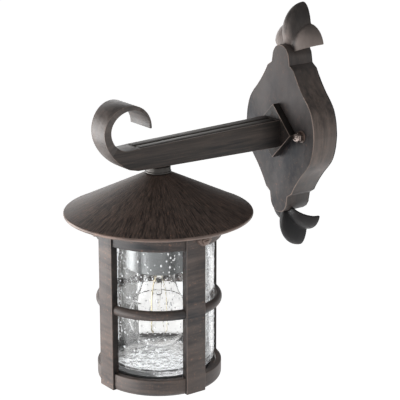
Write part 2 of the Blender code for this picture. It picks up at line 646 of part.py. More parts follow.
def ring_arc_curve():
    """A quarter of the rod ring, short of the posts at both ends."""
    curve = bpy.data.curves.new("ring_rod", "CURVE")
    curve.dimensions = "3D"
    curve.bevel_depth = RING_ROD * MM
    curve.bevel_resolution = 2
    curve.use_fill_caps = True
    spline = curve.splines.new("POLY")
    points = arc((0.0, 0.0), RING_RADIUS, -78.0, -12.0, 10)
    spline.points.add(len(points) - 1)
    for point, (x, y) in zip(spline.points, points):
        point.co = (x * MM, y * MM, RING_Z * MM, 1.0)
    curve.materials.append(material("bronze_paint", "ring_rod"))
    return curve


make_finials()
make_plate()
make_bracket()
make_wiring()
make_arm()
make_curl()
make_roof()
make_lamp()
make_cage()
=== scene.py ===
import math
import random

import bmesh
import bpy
from mathutils import Matrix, Vector


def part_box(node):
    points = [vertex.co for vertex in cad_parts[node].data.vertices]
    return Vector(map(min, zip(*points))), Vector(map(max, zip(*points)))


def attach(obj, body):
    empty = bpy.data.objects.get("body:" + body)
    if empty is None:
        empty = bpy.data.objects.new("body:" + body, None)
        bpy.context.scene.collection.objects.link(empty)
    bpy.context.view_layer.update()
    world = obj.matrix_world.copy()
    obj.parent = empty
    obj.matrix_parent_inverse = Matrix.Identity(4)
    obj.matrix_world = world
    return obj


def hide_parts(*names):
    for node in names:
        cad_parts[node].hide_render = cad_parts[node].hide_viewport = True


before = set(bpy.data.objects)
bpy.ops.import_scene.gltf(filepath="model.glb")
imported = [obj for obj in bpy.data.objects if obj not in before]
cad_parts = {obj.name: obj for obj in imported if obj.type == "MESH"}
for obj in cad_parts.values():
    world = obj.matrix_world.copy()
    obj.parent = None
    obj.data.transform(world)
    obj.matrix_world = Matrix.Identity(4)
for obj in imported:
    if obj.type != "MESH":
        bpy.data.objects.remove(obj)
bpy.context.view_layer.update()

# Outdoor wall lantern in antique bronze paint. The wall is y = 0 and the arm points along -Y.
# Lengths in the settings are millimetres unless a note says otherwise. The scene itself is in metres.
mm = 0.001
random.seed(41)
scene = bpy.context.scene
roofLow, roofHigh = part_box("roof")
axisY = (roofLow.y + roofHigh.y) / 2 / mm  # where the lantern's upright axis stands
alongY = (math.radians(90.0), 0.0, 0.0)  # turns an upright rod so that it runs out from the wall


# Small tools for modelling by hand
def clearSelection():
    if bpy.context.mode != "OBJECT":
        bpy.ops.object.mode_set(mode="OBJECT")
    bpy.ops.object.select_all(action="DESELECT")


def makeActive(piece):
    clearSelection()
    piece.select_set(True)
    bpy.context.view_layer.objects.active = piece


def openEdit(piece):
    makeActive(piece)
    bpy.ops.object.mode_set(mode="EDIT")
    bpy.ops.mesh.select_mode(type="VERT")
    bpy.ops.mesh.select_all(action="DESELECT")


def closeEdit():
    bpy.ops.object.mode_set(mode="OBJECT")


def selectVerts(piece, test):
    data = bmesh.from_edit_mesh(piece.data)
    for vert in data.verts:
        vert.select = test(vert.co)
    data.select_flush_mode()
    bmesh.update_edit_mesh(piece.data)


def selectFaces(piece, test):
    data = bmesh.from_edit_mesh(piece.data)
    for face in data.faces:
        face.select_set(test(face.calc_center_median(), face.normal))
    bmesh.update_edit_mesh(piece.data)


def applyPlace(piece):
    makeActive(piece)
    bpy.ops.object.transform_apply(location=True, rotation=True, scale=True)


def named(name):
    piece = bpy.context.active_object
    piece.name = name
    piece.data.name = name
    bpy.ops.object.transform_apply(location=True, rotation=True, scale=True)
    return piece


def addBox(name, low, high):
    clearSelection()
    middle = [(a + b) / 2 * mm for a, b in zip(low, high)]
    size = [(b - a) * mm for a, b in zip(low, high)]
    bpy.ops.mesh.primitive_cube_add(size=1.0, location=middle, scale=size)
    return named(name)


def addRod(name, radius, low, high, sides=32, turn=(0.0, 0.0, 0.0)):
    clearSelection()
    middle = (Vector(low) + Vector(high)) / 2 * mm
    length = (Vector(high) - Vector(low)).length * mm
    bpy.ops.mesh.primitive_cylinder_add(
        vertices=sides, radius=radius * mm, depth=length, location=middle, rotation=turn
    )
    return named(name)


def finishWith(piece, kind, **settings):
    makeActive(piece)
    modifier = piece.modifiers.new(kind.lower(), kind)
    for key, value in settings.items():
        setattr(modifier, key, value)
    bpy.ops.object.modifier_apply(modifier=modifier.name)


def softEdges(piece, width, segments=3, angle=32.0, edgeSlot=1, clamp=True):
    finishWith(
        piece, "BEVEL", width=width * mm, segments=segments, limit_method="ANGLE",
        angle_limit=math.radians(angle), use_clamp_overlap=clamp, material=edgeSlot,
    )


def joinInto(piece, other, operation="UNION"):
    finishWith(piece, "BOOLEAN", object=other, operation=operation, solver="EXACT")
    bpy.data.objects.remove(other, do_unlink=True)


def smoothShade(piece, angle=34.0):
    makeActive(piece)
    bpy.ops.object.shade_smooth_by_angle(angle=math.radians(angle))


def traceLine(name, points, closed=False):
    # One vertex is run along the points, which are in millimetres
    clearSelection()
    bpy.ops.mesh.primitive_plane_add(size=mm, location=Vector(points[0]) * mm)
    piece = named(name)
    bpy.ops.object.mode_set(mode="EDIT")
    bpy.ops.mesh.select_mode(type="VERT")
    bpy.ops.mesh.select_all(action="SELECT")
    bpy.ops.mesh.merge(type="CENTER")
    for here, there in zip(points, points[1:]):
        step = (Vector(there) - Vector(here)) * mm
        bpy.ops.mesh.extrude_vertices_move(TRANSFORM_OT_translate={"value": step})
    if closed:
        data = bmesh.from_edit_mesh(piece.data)
        data.verts.ensure_lookup_table()
        data.verts[0].select = True
        data.verts[-1].select = True
        bmesh.update_edit_mesh(piece.data)
        bpy.ops.mesh.edge_face_add()
    closeEdit()
    return piece


def turnPiece(name, profile, steps, closed=True, centre=None, rounding=4):
    # An (r, z) or (r, z, corner radius) profile, spun about the lantern's axis
    middle = centre or (0.0, axisY)
    line = traceLine(name, [(middle[0] + point[0], middle[1], point[1]) for point in profile], closed)
    corners = [(middle[0] + point[0], point[1], point[2]) for point in profile if len(point) > 2]
    openEdit(line)
    for x, z, radius in corners:
        spot = Vector((x, middle[1], z)) * mm
        selectVerts(line, lambda co: (co - spot).length < 0.02 * mm)
        bpy.ops.mesh.bevel(offset=radius * mm, segments=rounding, affect="VERTICES")
    bpy.ops.mesh.select_all(action="SELECT")
    bpy.ops.mesh.spin(
        steps=steps, angle=2 * math.pi, center=(middle[0] * mm, middle[1] * mm, 0.0), axis=(0.0, 0.0, 1.0)
    )
    bpy.ops.mesh.select_all(action="SELECT")
    bpy.ops.mesh.remove_doubles(threshold=0.002 * mm)
    bpy.ops.mesh.normals_make_consistent(inside=False)
    closeEdit()
    return line


def pullOut(piece, depth):
    # Fills a traced outline and draws it out along Y. Edit mode stays open
    openEdit(piece)
    bpy.ops.mesh.select_all(action="SELECT")
    bpy.ops.mesh.edge_face_add()
    bpy.ops.mesh.extrude_region_move(TRANSFORM_OT_translate={"value": (0.0, depth * mm, 0.0)})


def faceOut(piece):
    openEdit(piece)
    bpy.ops.mesh.select_all(action="SELECT")
    bpy.ops.mesh.normals_make_consistent(inside=False)
    closeEdit()


def standOut(piece, place):
    # What was made about an upright line is turned so that its +Z points away from the wall
    piece.data.transform(place @ Matrix.Rotation(math.radians(90.0), 4, "X"))


def copyOf(piece, name, change):
    twin = piece.copy()
    twin.data = piece.data.copy()
    twin.name = name
    twin.data.name = name
    scene.collection.objects.link(twin)
    twin.matrix_world = change @ twin.matrix_world
    applyPlace(twin)
    return twin


def arcPoints(centre, radius, start, end, count):
    turns = [math.radians(start + (end - start) * i / count) for i in range(count + 1)]
    return [(centre[0] + radius * math.cos(t), centre[1] + radius * math.sin(t)) for t in turns]


def curveThrough(points, count):
    # A smooth line through the points, with count steps between each pair
    ends = [points[0], *points, points[-1]]
    found = []
    for i in range(1, len(ends) - 2):
        before, here, there, after = (Vector(point) for point in ends[i - 1 : i + 3])
        for k in range(count):
            t = k / count
            bend = here * 2 + (there - before) * t + (before * 2 - here * 5 + there * 4 - after) * t**2
            found.append(tuple((bend + (here * 3 - before - there * 3 + after) * t**3) / 2))
    return found + [tuple(points[-1])]


# Tools for materials
def addNode(tree, kind, inputs=None, **settings):
    node = tree.nodes.new(kind)
    for key, value in settings.items():
        setattr(node, key, value)
    for key, value in (inputs or {}).items():
        if isinstance(value, bpy.types.NodeSocket):
            tree.links.new(value, node.inputs[key])
        else:
            node.inputs[key].default_value = value
    return node


def startMaterial(name, **sockets):
    made = bpy.data.materials.new(name)
    made.use_nodes = True
    tree = made.node_tree
    shader = tree.nodes["Principled BSDF"]
    for key, value in sockets.items():
        shader.inputs[key.replace("_", " ")].default_value = value
    return made, tree, shader


def spread(tree, factor, low, high, toLow=0.0, toHigh=1.0):
    inputs = {"Value": factor, "From Min": low, "From Max": high, "To Min": toLow, "To Max": toHigh}
    return addNode(tree, "ShaderNodeMapRange", inputs).outputs["Result"]


def blendColours(tree, factor, first, second):
    node = addNode(tree, "ShaderNodeMix", data_type="RGBA")
    for index, value in ((0, factor), (6, first), (7, second)):
        if isinstance(value, bpy.types.NodeSocket):
            tree.links.new(value, node.inputs[index])
        else:
            node.inputs[index].default_value = value
    return node.outputs[2]


def noiseAt(tree, vector, scale, detail=4.0, roughness=0.6, distortion=0.0):
    inputs = {
        "Vector": vector, "Scale": scale, "Detail": detail, "Roughness": roughness, "Distortion": distortion,
    }
    return addNode(tree, "ShaderNodeTexNoise", inputs).outputs[0]


def scaled(tree, vector, scale, turn=(0.0, 0.0, 0.0)):
    inputs = {"Vector": vector, "Scale": scale, "Rotation": turn}
    return addNode(tree, "ShaderNodeMapping", inputs).outputs["Vector"]


def vectorMath(tree, operation, *values):
    return addNode(tree, "ShaderNodeVectorMath", dict(enumerate(values)), operation=operation).outputs[0]


def addSkin(tree, shader, height, strength, depth):
    # The finish's fine relief
    bump = addNode(tree, "ShaderNodeBump", {"Height": height, "Strength": strength, "Distance": depth * mm})
    tree.links.new(bump.outputs["Normal"], shader.inputs["Normal"])


def addSheen(tree, shader, pattern, sheen):
    # The roughness runs between two values with the pattern
    tree.links.new(spread(tree, pattern, 0.3, 0.7, *sheen), shader.inputs["Roughness"])


def strokeSpace(tree, look):
    # Coordinates in which the brush strokes run long: straight, radial about Z or around X
    place = addNode(tree, "ShaderNodeTexCoord").outputs["Object"]
    if look["run"] == "straight":
        return place, scaled(tree, place, look["strokes"], look.get("turn", (0.0, 0.0, 0.0)))
    shift = [-part * mm for part in look["middle"]]
    centred = addNode(tree, "ShaderNodeMapping", {"Vector": place, "Location": shift}).outputs["Vector"]
    flat = (1.0, 1.0, 0.0) if look["run"] == "radial" else (0.0, 1.0, 1.0)
    across = vectorMath(tree, "MULTIPLY", centred, flat)
    heading = vectorMath(tree, "NORMALIZE", across)
    long = vectorMath(tree, "MULTIPLY", heading, (look["angular"],) * 3)
    short = scaled(tree, centred, look["strokes"])
    return place, vectorMath(tree, "ADD", long, short)


def antiquePaint(name, look):
    # Dark paint with soft mottling, brushed strokes, and copper showing through where it is rubbed
    made, tree, shader = startMaterial(name, Metallic=look["metal"], Specular_IOR_Level=look["gloss"])
    place, along = strokeSpace(tree, look)
    mottle = spread(tree, noiseAt(tree, place, look["mottle"], 3.0, 0.55), 0.36, 0.66)
    strokes = noiseAt(tree, along, 1.0, 5.0, 0.62, 0.12)
    broad = spread(tree, noiseAt(tree, along, 0.31, 3.0, 0.5), 0.4, 0.68)
    streaks = spread(tree, strokes, 0.42, 0.70)
    specks = noiseAt(tree, place, look["speckle"], 2.0, 0.7)
    speckle = spread(tree, specks, 0.58, 0.72, 0.0, look["copperShare"])
    base = blendColours(tree, mottle, look["dark"], look["warm"])
    worn = blendColours(tree, spread(tree, broad, 0.0, 1.0, 0.0, look["broad"]), base, look["light"])
    brushed = blendColours(tree, spread(tree, streaks, 0.0, 1.0, 0.0, look["streak"]), worn, look["light"])
    copper = addNode(tree, "ShaderNodeMath", {0: speckle, 1: streaks}, operation="MULTIPLY").outputs[0]
    final = blendColours(tree, copper, brushed, look["copper"])
    for axis, start, end, colour, share in look["fades"]:
        # Another colour comes in along one axis, from start to end. The arm, the cover, the plate's sides and
        # the leaves use this for painted shade and painted light
        parts = addNode(tree, "ShaderNodeSeparateXYZ", {0: place})
        amount = spread(tree, parts.outputs[axis], start * mm, end * mm, 0.0, share)
        final = blendColours(tree, amount, final, colour)
    tree.links.new(final, shader.inputs["Base Color"])
    addSheen(tree, shader, strokes, look["sheen"])
    fine = noiseAt(tree, place, 1400.0, 2.0, 0.6)
    relief = addNode(tree, "ShaderNodeMath", {0: fine, 1: 0.35, 2: strokes}, operation="MULTIPLY_ADD")
    addSkin(tree, shader, relief.outputs[0], look["relief"], 0.25)
    return made


def plainMetal(name, look):
    # Bare or plated metal: turned or drawn lines, small stains and uneven polish
    made, tree, shader = startMaterial(name, Metallic=look.get("metal", 1.0))
    place = addNode(tree, "ShaderNodeTexCoord").outputs["Object"]
    lines = noiseAt(tree, scaled(tree, place, look["lines"]), 1.0, 3.0, 0.6)
    stain = spread(tree, noiseAt(tree, place, look["stain"], 4.0, 0.65), 0.45, 0.72, 0.0, look["stained"])
    tree.links.new(blendColours(tree, stain, look["colour"], look["dull"]), shader.inputs["Base Color"])
    addSheen(tree, shader, lines, look["sheen"])
    addSkin(tree, shader, lines, look["relief"], 0.08)
    return made


def mouldedStuff(name, look):
    # Rubber, nylon, porcelain and cable sheath: a fine skin with faint cloudiness
    made, tree, shader = startMaterial(name)
    place = addNode(tree, "ShaderNodeTexCoord").outputs["Object"]
    cloud = spread(tree, noiseAt(tree, place, look["cloud"], 4.0, 0.6), 0.35, 0.7)
    grain = noiseAt(tree, place, look["grain"], 3.0, 0.6)
    tree.links.new(blendColours(tree, cloud, look["colour"], look["second"]), shader.inputs["Base Color"])
    addSheen(tree, shader, grain, look["sheen"])
    addSkin(tree, shader, grain, look["relief"], 0.1)
    return made


def mixByRay(tree, ray, usual, special):
    # The special shader holds for one kind of ray only
    path = addNode(tree, "ShaderNodeLightPath")
    inputs = {0: path.outputs[ray], 1: usual.outputs[0], 2: special.outputs[0]}
    return addNode(tree, "ShaderNodeMixShader", inputs).outputs[0]


def clearGlass(name, look):
    # Clear glass that lets lamp light through, with a slight wave and small seeds on its skin
    made, tree, shader = startMaterial(
        name, Base_Color=look["tint"], IOR=look["ior"], Transmission_Weight=1.0
    )
    place = addNode(tree, "ShaderNodeTexCoord").outputs["Object"]
    wave = noiseAt(tree, scaled(tree, place, look["waves"]), 1.0, 2.0, 0.5)
    addSheen(tree, shader, wave, look["sheen"])
    height = wave
    if look["seeds"]:
        cells = addNode(tree, "ShaderNodeTexVoronoi", {"Vector": place, "Scale": look["seeds"]})
        dots = spread(tree, cells.outputs["Distance"], 0.10, 0.24, 0.35, 0.0)
        height = addNode(tree, "ShaderNodeMath", {0: wave, 1: dots}, operation="ADD").outputs[0]
    addSkin(tree, shader, height, look["relief"], look["depth"])
    clear = addNode(tree, "ShaderNodeBsdfTransparent", {"Color": look["tint"]})
    mix = mixByRay(tree, "Is Shadow Ray", shader, clear)
    output = next(node for node in tree.nodes if node.type == "OUTPUT_MATERIAL")
    tree.links.new(mix, output.inputs["Surface"])
    return made


paintDefaults = {
    "run": "straight", "strokes": (60.0, 60.0, 420.0), "mottle": 28.0, "speckle": 700.0,
    "dark": (0.019, 0.018, 0.018, 1.0), "warm": (0.042, 0.032, 0.028, 1.0),
    "light": (0.150, 0.118, 0.102, 1.0), "copper": (0.34, 0.17, 0.11, 1.0),
    "copperShare": 0.5, "broad": 0.35, "streak": 0.42, "metal": 0.15, "gloss": 0.6,
    "sheen": (0.34, 0.54), "relief": 0.35, "fades": [],
}


def paintLook(**changes):
    return {**paintDefaults, **changes}


curlCentre = (-214.6, 28.7)  # y and z of the middle of the arm's curl
paints = {
    "castPaint": antiquePaint("castPaint", paintLook(
        turn=(0.12, 0.10, 0.0), dark=(0.016, 0.017, 0.020, 1.0), warm=(0.050, 0.039, 0.035, 1.0), mottle=20.0,
        strokes=(36.0, 36.0, 300.0), streak=0.36, broad=0.4, relief=0.16, copperShare=0.8, speckle=500.0,
        light=(0.175, 0.132, 0.112, 1.0), gloss=0.4, metal=0.1,
    )),
    "armPaint": antiquePaint("armPaint", paintLook(
        strokes=(420.0, 22.0, 420.0), dark=(0.022, 0.022, 0.023, 1.0), warm=(0.036, 0.032, 0.029, 1.0),
        broad=0.3, streak=0.35, copperShare=0.25, gloss=0.22, metal=0.04,
        # Darker over the last 18 mm towards the wall plate: painted shade where the arm meets the plate
        fades=[("Y", -62.0, -44.0, (0.006, 0.005, 0.005, 1.0), 0.75)],
    )),
    # A lighter copy of the arm's paint for faces that look up: painted light on the arm's top and its cover
    "litCoverPaint": antiquePaint("litCoverPaint", paintLook(
        strokes=(420.0, 22.0, 420.0), dark=(0.034, 0.033, 0.031, 1.0), warm=(0.060, 0.054, 0.048, 1.0),
        light=(0.17, 0.15, 0.13, 1.0), broad=0.4, streak=0.45, copperShare=0.3, gloss=0.3, metal=0.05,
        # Darker towards the wall plate: painted shade where the cover meets the plate
        fades=[("Y", -75.0, -44.0, (0.006, 0.005, 0.005, 1.0), 0.8)],
    )),
    "curlPaint": antiquePaint("curlPaint", paintLook(
        run="around", middle=(0.0, *curlCentre), angular=3.0, strokes=(420.0, 60.0, 60.0),
        dark=(0.028, 0.026, 0.025, 1.0), broad=0.4, streak=0.5, copperShare=0.4,
    )),
    "platePaint": antiquePaint("platePaint", paintLook(
        strokes=(170.0, 170.0, 90.0), dark=(0.014, 0.016, 0.021, 1.0), warm=(0.054, 0.048, 0.047, 1.0),
        light=(0.125, 0.112, 0.108, 1.0), broad=0.4, streak=0.4, copperShare=0.5, speckle=420.0, mottle=26.0,
        gloss=0.18, metal=0.04, sheen=(0.46, 0.62), relief=0.3,
        fades=[("Z", 5.0, 75.0, (0.086, 0.070, 0.063, 1.0), 0.5)],
    )),
    # Near-black paint for the rosette's face and the posts' flanks: painted shade
    "paintedShadeDark": antiquePaint("paintedShadeDark", paintLook(
        strokes=(170.0, 170.0, 90.0), dark=(0.009, 0.009, 0.010, 1.0), warm=(0.026, 0.022, 0.020, 1.0),
        light=(0.060, 0.050, 0.045, 1.0), gloss=0.15, metal=0.0, copperShare=0.4,
    )),
    "sidePaint": antiquePaint("sidePaint", paintLook(
        strokes=(330.0, 330.0, 30.0), broad=0.5, streak=0.5, mottle=22.0,
        warm=(0.052, 0.038, 0.032, 1.0), light=(0.170, 0.128, 0.108, 1.0),
        # Darker towards the ledge at the top and towards the bottom: painted shade on the plate's sides
        fades=[
            ("Z", 40.0, 62.0, (0.014, 0.012, 0.012, 1.0), 0.55),
            ("Z", -20.0, -62.0, (0.014, 0.012, 0.012, 1.0), 0.6),
        ],
    )),
    # Black paint for the rosette's sides: painted shade
    "paintedShadeBlack": antiquePaint("paintedShadeBlack", paintLook(
        strokes=(160.0, 160.0, 160.0), dark=(0.005, 0.0045, 0.0045, 1.0), warm=(0.010, 0.008, 0.007, 1.0),
        light=(0.05, 0.04, 0.035, 1.0), broad=0.2, streak=0.2, copperShare=0.2, gloss=0.35,
    )),
    "roofPaint": antiquePaint("roofPaint", paintLook(
        run="radial", middle=(0.0, axisY, 0.0), angular=58.0, strokes=(90.0, 90.0, 200.0),
        dark=(0.011, 0.008, 0.007, 1.0), warm=(0.026, 0.017, 0.014, 1.0), light=(0.170, 0.122, 0.100, 1.0),
        copper=(0.40, 0.19, 0.11, 1.0), copperShare=1.0, broad=0.3, streak=0.8, speckle=900.0,
        gloss=0.3, sheen=(0.40, 0.60), relief=0.9,
    )),
    # Pale paint for the cage's inner faces: painted light seen through the glass
    "litInnerPaint": antiquePaint("litInnerPaint", paintLook(
        strokes=(60.0, 60.0, 200.0), dark=(0.36, 0.35, 0.34, 1.0), warm=(0.46, 0.44, 0.42, 1.0),
        light=(0.62, 0.60, 0.58, 1.0), copper=(0.40, 0.32, 0.28, 1.0), metal=0.3, gloss=0.4,
    )),
    "rubbedEdge": antiquePaint("rubbedEdge", paintLook(
        strokes=(90.0, 90.0, 90.0), dark=(0.085, 0.068, 0.058, 1.0), warm=(0.200, 0.140, 0.112, 1.0),
        light=(0.38, 0.30, 0.26, 1.0), copper=(0.50, 0.26, 0.17, 1.0), metal=0.4, broad=0.5, mottle=60.0,
        sheen=(0.30, 0.45), relief=0.25,
    )),
    "beadPaint": antiquePaint("beadPaint", paintLook(
        strokes=(70.0, 70.0, 300.0), dark=(0.060, 0.045, 0.039, 1.0), warm=(0.140, 0.098, 0.080, 1.0),
        light=(0.24, 0.165, 0.135, 1.0), copper=(0.48, 0.24, 0.15, 1.0), metal=0.35, broad=0.4, mottle=50.0,
        sheen=(0.30, 0.45), relief=0.3,
    )),
    "leafLitShadedPaint": antiquePaint("leafLitShadedPaint", paintLook(
        strokes=(230.0, 230.0, 70.0), dark=(0.016, 0.015, 0.016, 1.0), warm=(0.070, 0.054, 0.047, 1.0),
        light=(0.30, 0.25, 0.23, 1.0), broad=0.75, streak=0.9, copperShare=1.0, speckle=500.0, mottle=90.0,
        relief=0.9, gloss=0.2, metal=0.05,
        # Painted light and shade: lighter above z 70, darker on the right half, lighter again on the right
        # side leaf, darker at the tip, and nearly black on the lower finial
        fades=[
            ("Z", 70.0, 84.0, (0.300, 0.260, 0.240, 1.0), 0.35),
            ("X", 3.0, 8.0, (0.014, 0.013, 0.013, 1.0), 0.68),
            ("X", 10.5, 14.0, (0.360, 0.300, 0.270, 1.0), 0.42),
            ("Z", 92.0, 112.0, (0.024, 0.022, 0.021, 1.0), 0.8),
            ("Z", 0.0, -80.0, (0.008, 0.008, 0.009, 1.0), 0.95),
        ],
    )),
}
metals = {
    "platedCollar": plainMetal("platedCollar", {
        "colour": (0.062, 0.057, 0.053, 1.0), "dull": (0.028, 0.021, 0.018, 1.0),
        "lines": (40.0, 40.0, 900.0), "stain": 90.0, "stained": 0.6, "sheen": (0.26, 0.38), "relief": 0.2,
        "metal": 0.7,
    }),
    "nickelPlate": plainMetal("nickelPlate", {
        "colour": (0.42, 0.35, 0.32, 1.0), "dull": (0.22, 0.15, 0.12, 1.0), "lines": (700.0, 700.0, 700.0),
        "stain": 240.0, "stained": 0.5, "sheen": (0.14, 0.30), "relief": 0.2,
    }),
    "zincSteel": plainMetal("zincSteel", {
        "colour": (0.50, 0.50, 0.49, 1.0), "dull": (0.30, 0.28, 0.24, 1.0), "lines": (300.0, 300.0, 900.0),
        "stain": 160.0, "stained": 0.7, "sheen": (0.28, 0.46), "relief": 0.3,
    }),
    "holderBrass": plainMetal("holderBrass", {
        "colour": (0.68, 0.47, 0.20, 1.0), "dull": (0.36, 0.22, 0.10, 1.0), "lines": (200.0, 200.0, 1200.0),
        "stain": 180.0, "stained": 0.6, "sheen": (0.22, 0.40), "relief": 0.3,
    }),
    "capAluminium": plainMetal("capAluminium", {
        "colour": (0.66, 0.66, 0.65, 1.0), "dull": (0.40, 0.38, 0.35, 1.0), "lines": (60.0, 60.0, 1600.0),
        "stain": 200.0, "stained": 0.4, "sheen": (0.20, 0.34), "relief": 0.25,
    }),
    "filamentWire": plainMetal("filamentWire", {
        "colour": (0.58, 0.52, 0.36, 1.0), "dull": (0.36, 0.31, 0.20, 1.0), "lines": (900.0, 900.0, 900.0),
        "stain": 400.0, "stained": 0.5, "sheen": (0.25, 0.45), "relief": 0.2,
    }),
    "greyCup": plainMetal("greyCup", {
        "colour": (0.20, 0.205, 0.205, 1.0), "dull": (0.13, 0.13, 0.13, 1.0), "lines": (30.0, 30.0, 500.0),
        "stain": 60.0, "stained": 0.5, "sheen": (0.30, 0.42), "relief": 0.15, "metal": 0.85,
    }),
}
stuffs = {
    "porcelain": mouldedStuff("porcelain", {
        "colour": (0.80, 0.78, 0.72, 1.0), "second": (0.70, 0.67, 0.60, 1.0), "cloud": 60.0, "grain": 500.0,
        "sheen": (0.16, 0.30), "relief": 0.12,
    }),
    "whiteNylon": mouldedStuff("whiteNylon", {
        "colour": (0.76, 0.75, 0.70, 1.0), "second": (0.66, 0.64, 0.58, 1.0), "cloud": 80.0, "grain": 1500.0,
        "sheen": (0.40, 0.58), "relief": 0.25,
    }),
    "blackRubber": mouldedStuff("blackRubber", {
        "colour": (0.020, 0.020, 0.021, 1.0), "second": (0.040, 0.038, 0.037, 1.0), "cloud": 120.0,
        "grain": 1800.0, "sheen": (0.62, 0.82), "relief": 0.5,
    }),
    "leadSheath": mouldedStuff("leadSheath", {
        "colour": (0.66, 0.64, 0.60, 1.0), "second": (0.52, 0.50, 0.46, 1.0), "cloud": 90.0, "grain": 900.0,
        "sheen": (0.46, 0.62), "relief": 0.3,
    }),
    # White for the glass's seeds: painted glints
    "seedGlintWhite": mouldedStuff("seedGlintWhite", {
        "colour": (0.92, 0.93, 0.94, 1.0), "second": (0.82, 0.84, 0.86, 1.0), "cloud": 300.0, "grain": 900.0,
        "sheen": (0.05, 0.15), "relief": 0.1,
    }),
}
glasses = {
    "seededGlass": clearGlass("seededGlass", {
        "tint": (0.965, 0.975, 0.98, 1.0), "ior": 1.34, "waves": (45.0, 45.0, 30.0), "sheen": (0.0, 0.03),
        "seeds": 230.0, "relief": 0.35, "depth": 0.5,
    }),
    "footGlass": clearGlass("footGlass", {
        "tint": (0.74, 0.75, 0.76, 1.0), "ior": 1.36, "waves": (120.0, 120.0, 90.0), "sheen": (0.05, 0.22),
        "seeds": 160.0, "relief": 0.9, "depth": 1.6,
    }),
    "bulbGlass": clearGlass("bulbGlass", {
        "tint": (0.985, 0.975, 0.965, 1.0), "ior": 1.22, "waves": (60.0, 60.0, 25.0), "sheen": (0.0, 0.02),
        "seeds": 0.0, "relief": 0.08, "depth": 0.5,
    }),
}
print("materials made")


def dress(piece, *materials):
    piece.data.materials.clear()
    for made in materials:
        piece.data.materials.append(made)


def dressFaces(piece, index, test):
    for face in piece.data.polygons:
        if test(face.center / mm, face.normal):
            face.material_index = index


def settle(piece, body, slot, *nodes):
    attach(piece, body)
    if nodes:
        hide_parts(*nodes)


# Clear radii that more than one piece has, and the height of the arm's screws
holeSet = {"cable": 4.5, "screw": 2.3, "stud": 2.9, "nipple": 5.3, "screwHigh": 9.0}
plateSet = {
    "depth": 30.0, "back": 1.5, "wall": 2.5, "edge": 0.6, "studs": 35.0,
    "belly": [
        (53.0, 0.0), (51.8, 12.0), (48.2, 24.0), (42.6, 32.4), (35.6, 40.0), (28.8, 48.6), (22.8, 57.6),
        (20.2, 62.2),
    ],
    "tongue": [(13.7, 66.4), (12.9, 71.0), (11.8, 76.6), (8.6, 81.6), (4.4, 84.2), (0.0, 84.8)],
    "bossRadius": 4.5, "bossHigh": (30.0, -34.0), "bossBack": -20.5,
}


def plateLine():
    # One quarter is drawn, from the right corner up to the tongue's end, and mirrored for the other three
    quarter = curveThrough(plateSet["belly"], 5) + curveThrough(plateSet["tongue"], 4)
    end = quarter.pop()
    top = [*quarter, end] + [(-x, z) for x, z in reversed(quarter)]
    lower = quarter[1:]
    below = [(-x, -z) for x, z in lower] + [(end[0], -end[1])] + [(x, -z) for x, z in reversed(lower)]
    return top + below


def makePlate():
    face = -plateSet["depth"]
    plate = traceLine("wall_plate", [(x, face, z) for x, z in plateLine()], closed=True)
    pullOut(plate, plateSet["depth"] - plateSet["back"])
    bpy.ops.mesh.delete(type="ONLY_FACE")  # the pan is open at the wall
    bpy.ops.mesh.select_all(action="SELECT")
    bpy.ops.mesh.normals_make_consistent(inside=False)
    closeEdit()
    finishWith(plate, "SOLIDIFY", thickness=plateSet["wall"] * mm, offset=-1.0, use_even_offset=True)
    studs, high = plateSet["studs"], holeSet["screwHigh"]
    for x, z, kind in (
        (-studs, 0.0, "stud"), (studs, 0.0, "stud"), (0.0, 0.0, "cable"),
        (0.0, high, "screw"), (0.0, -high, "screw"),
    ):
        hole = addRod("plateHole", holeSet[kind], (x, face - 10.0, z), (x, face + 20.0, z), 32, alongY)
        joinInto(plate, hole, "DIFFERENCE")
    start, end = face + plateSet["wall"] - 1.0, plateSet["bossBack"]
    for z in plateSet["bossHigh"]:
        boss = addRod("plateBoss", plateSet["bossRadius"], (0.0, start, z), (0.0, end, z), 32, alongY)
        joinInto(plate, boss)
    dress(plate, paints["platePaint"], paints["rubbedEdge"], paints["sidePaint"])
    dressFaces(plate, 2, lambda at, normal: abs(normal.y) < 0.5 or at.y > face + 1.0)
    softEdges(plate, plateSet["edge"], 3, 50.0, clamp=False)
    smoothShade(plate)
    settle(plate, "root", "plate_bronze", "backplate")


leafSet = {
    # Each leaf is an ellipsoid: its middle, then its radii
    "middle": ((0.0, -1.0, 97.0), (12.3, 25.0, 27.5)), "side": ((11.0, -1.0, 82.0), (21.2, 21.0, 22.6)),
    "wall": 2.0, "back": -1.5, "grain": 0.55,
    "hem": (11.5, 79.0, 0.4),  # x, z and slope of the cut along the plate's shoulders
}


def addLeaf(name, leaf, side, shrink):
    (x, y, z), radii = leaf
    clearSelection()
    bpy.ops.mesh.primitive_uv_sphere_add(
        segments=64, ring_count=40, radius=1.0, location=Vector((x * side, y, z)) * mm,
        scale=[(radius - shrink) * mm for radius in radii],
    )
    return named(name)


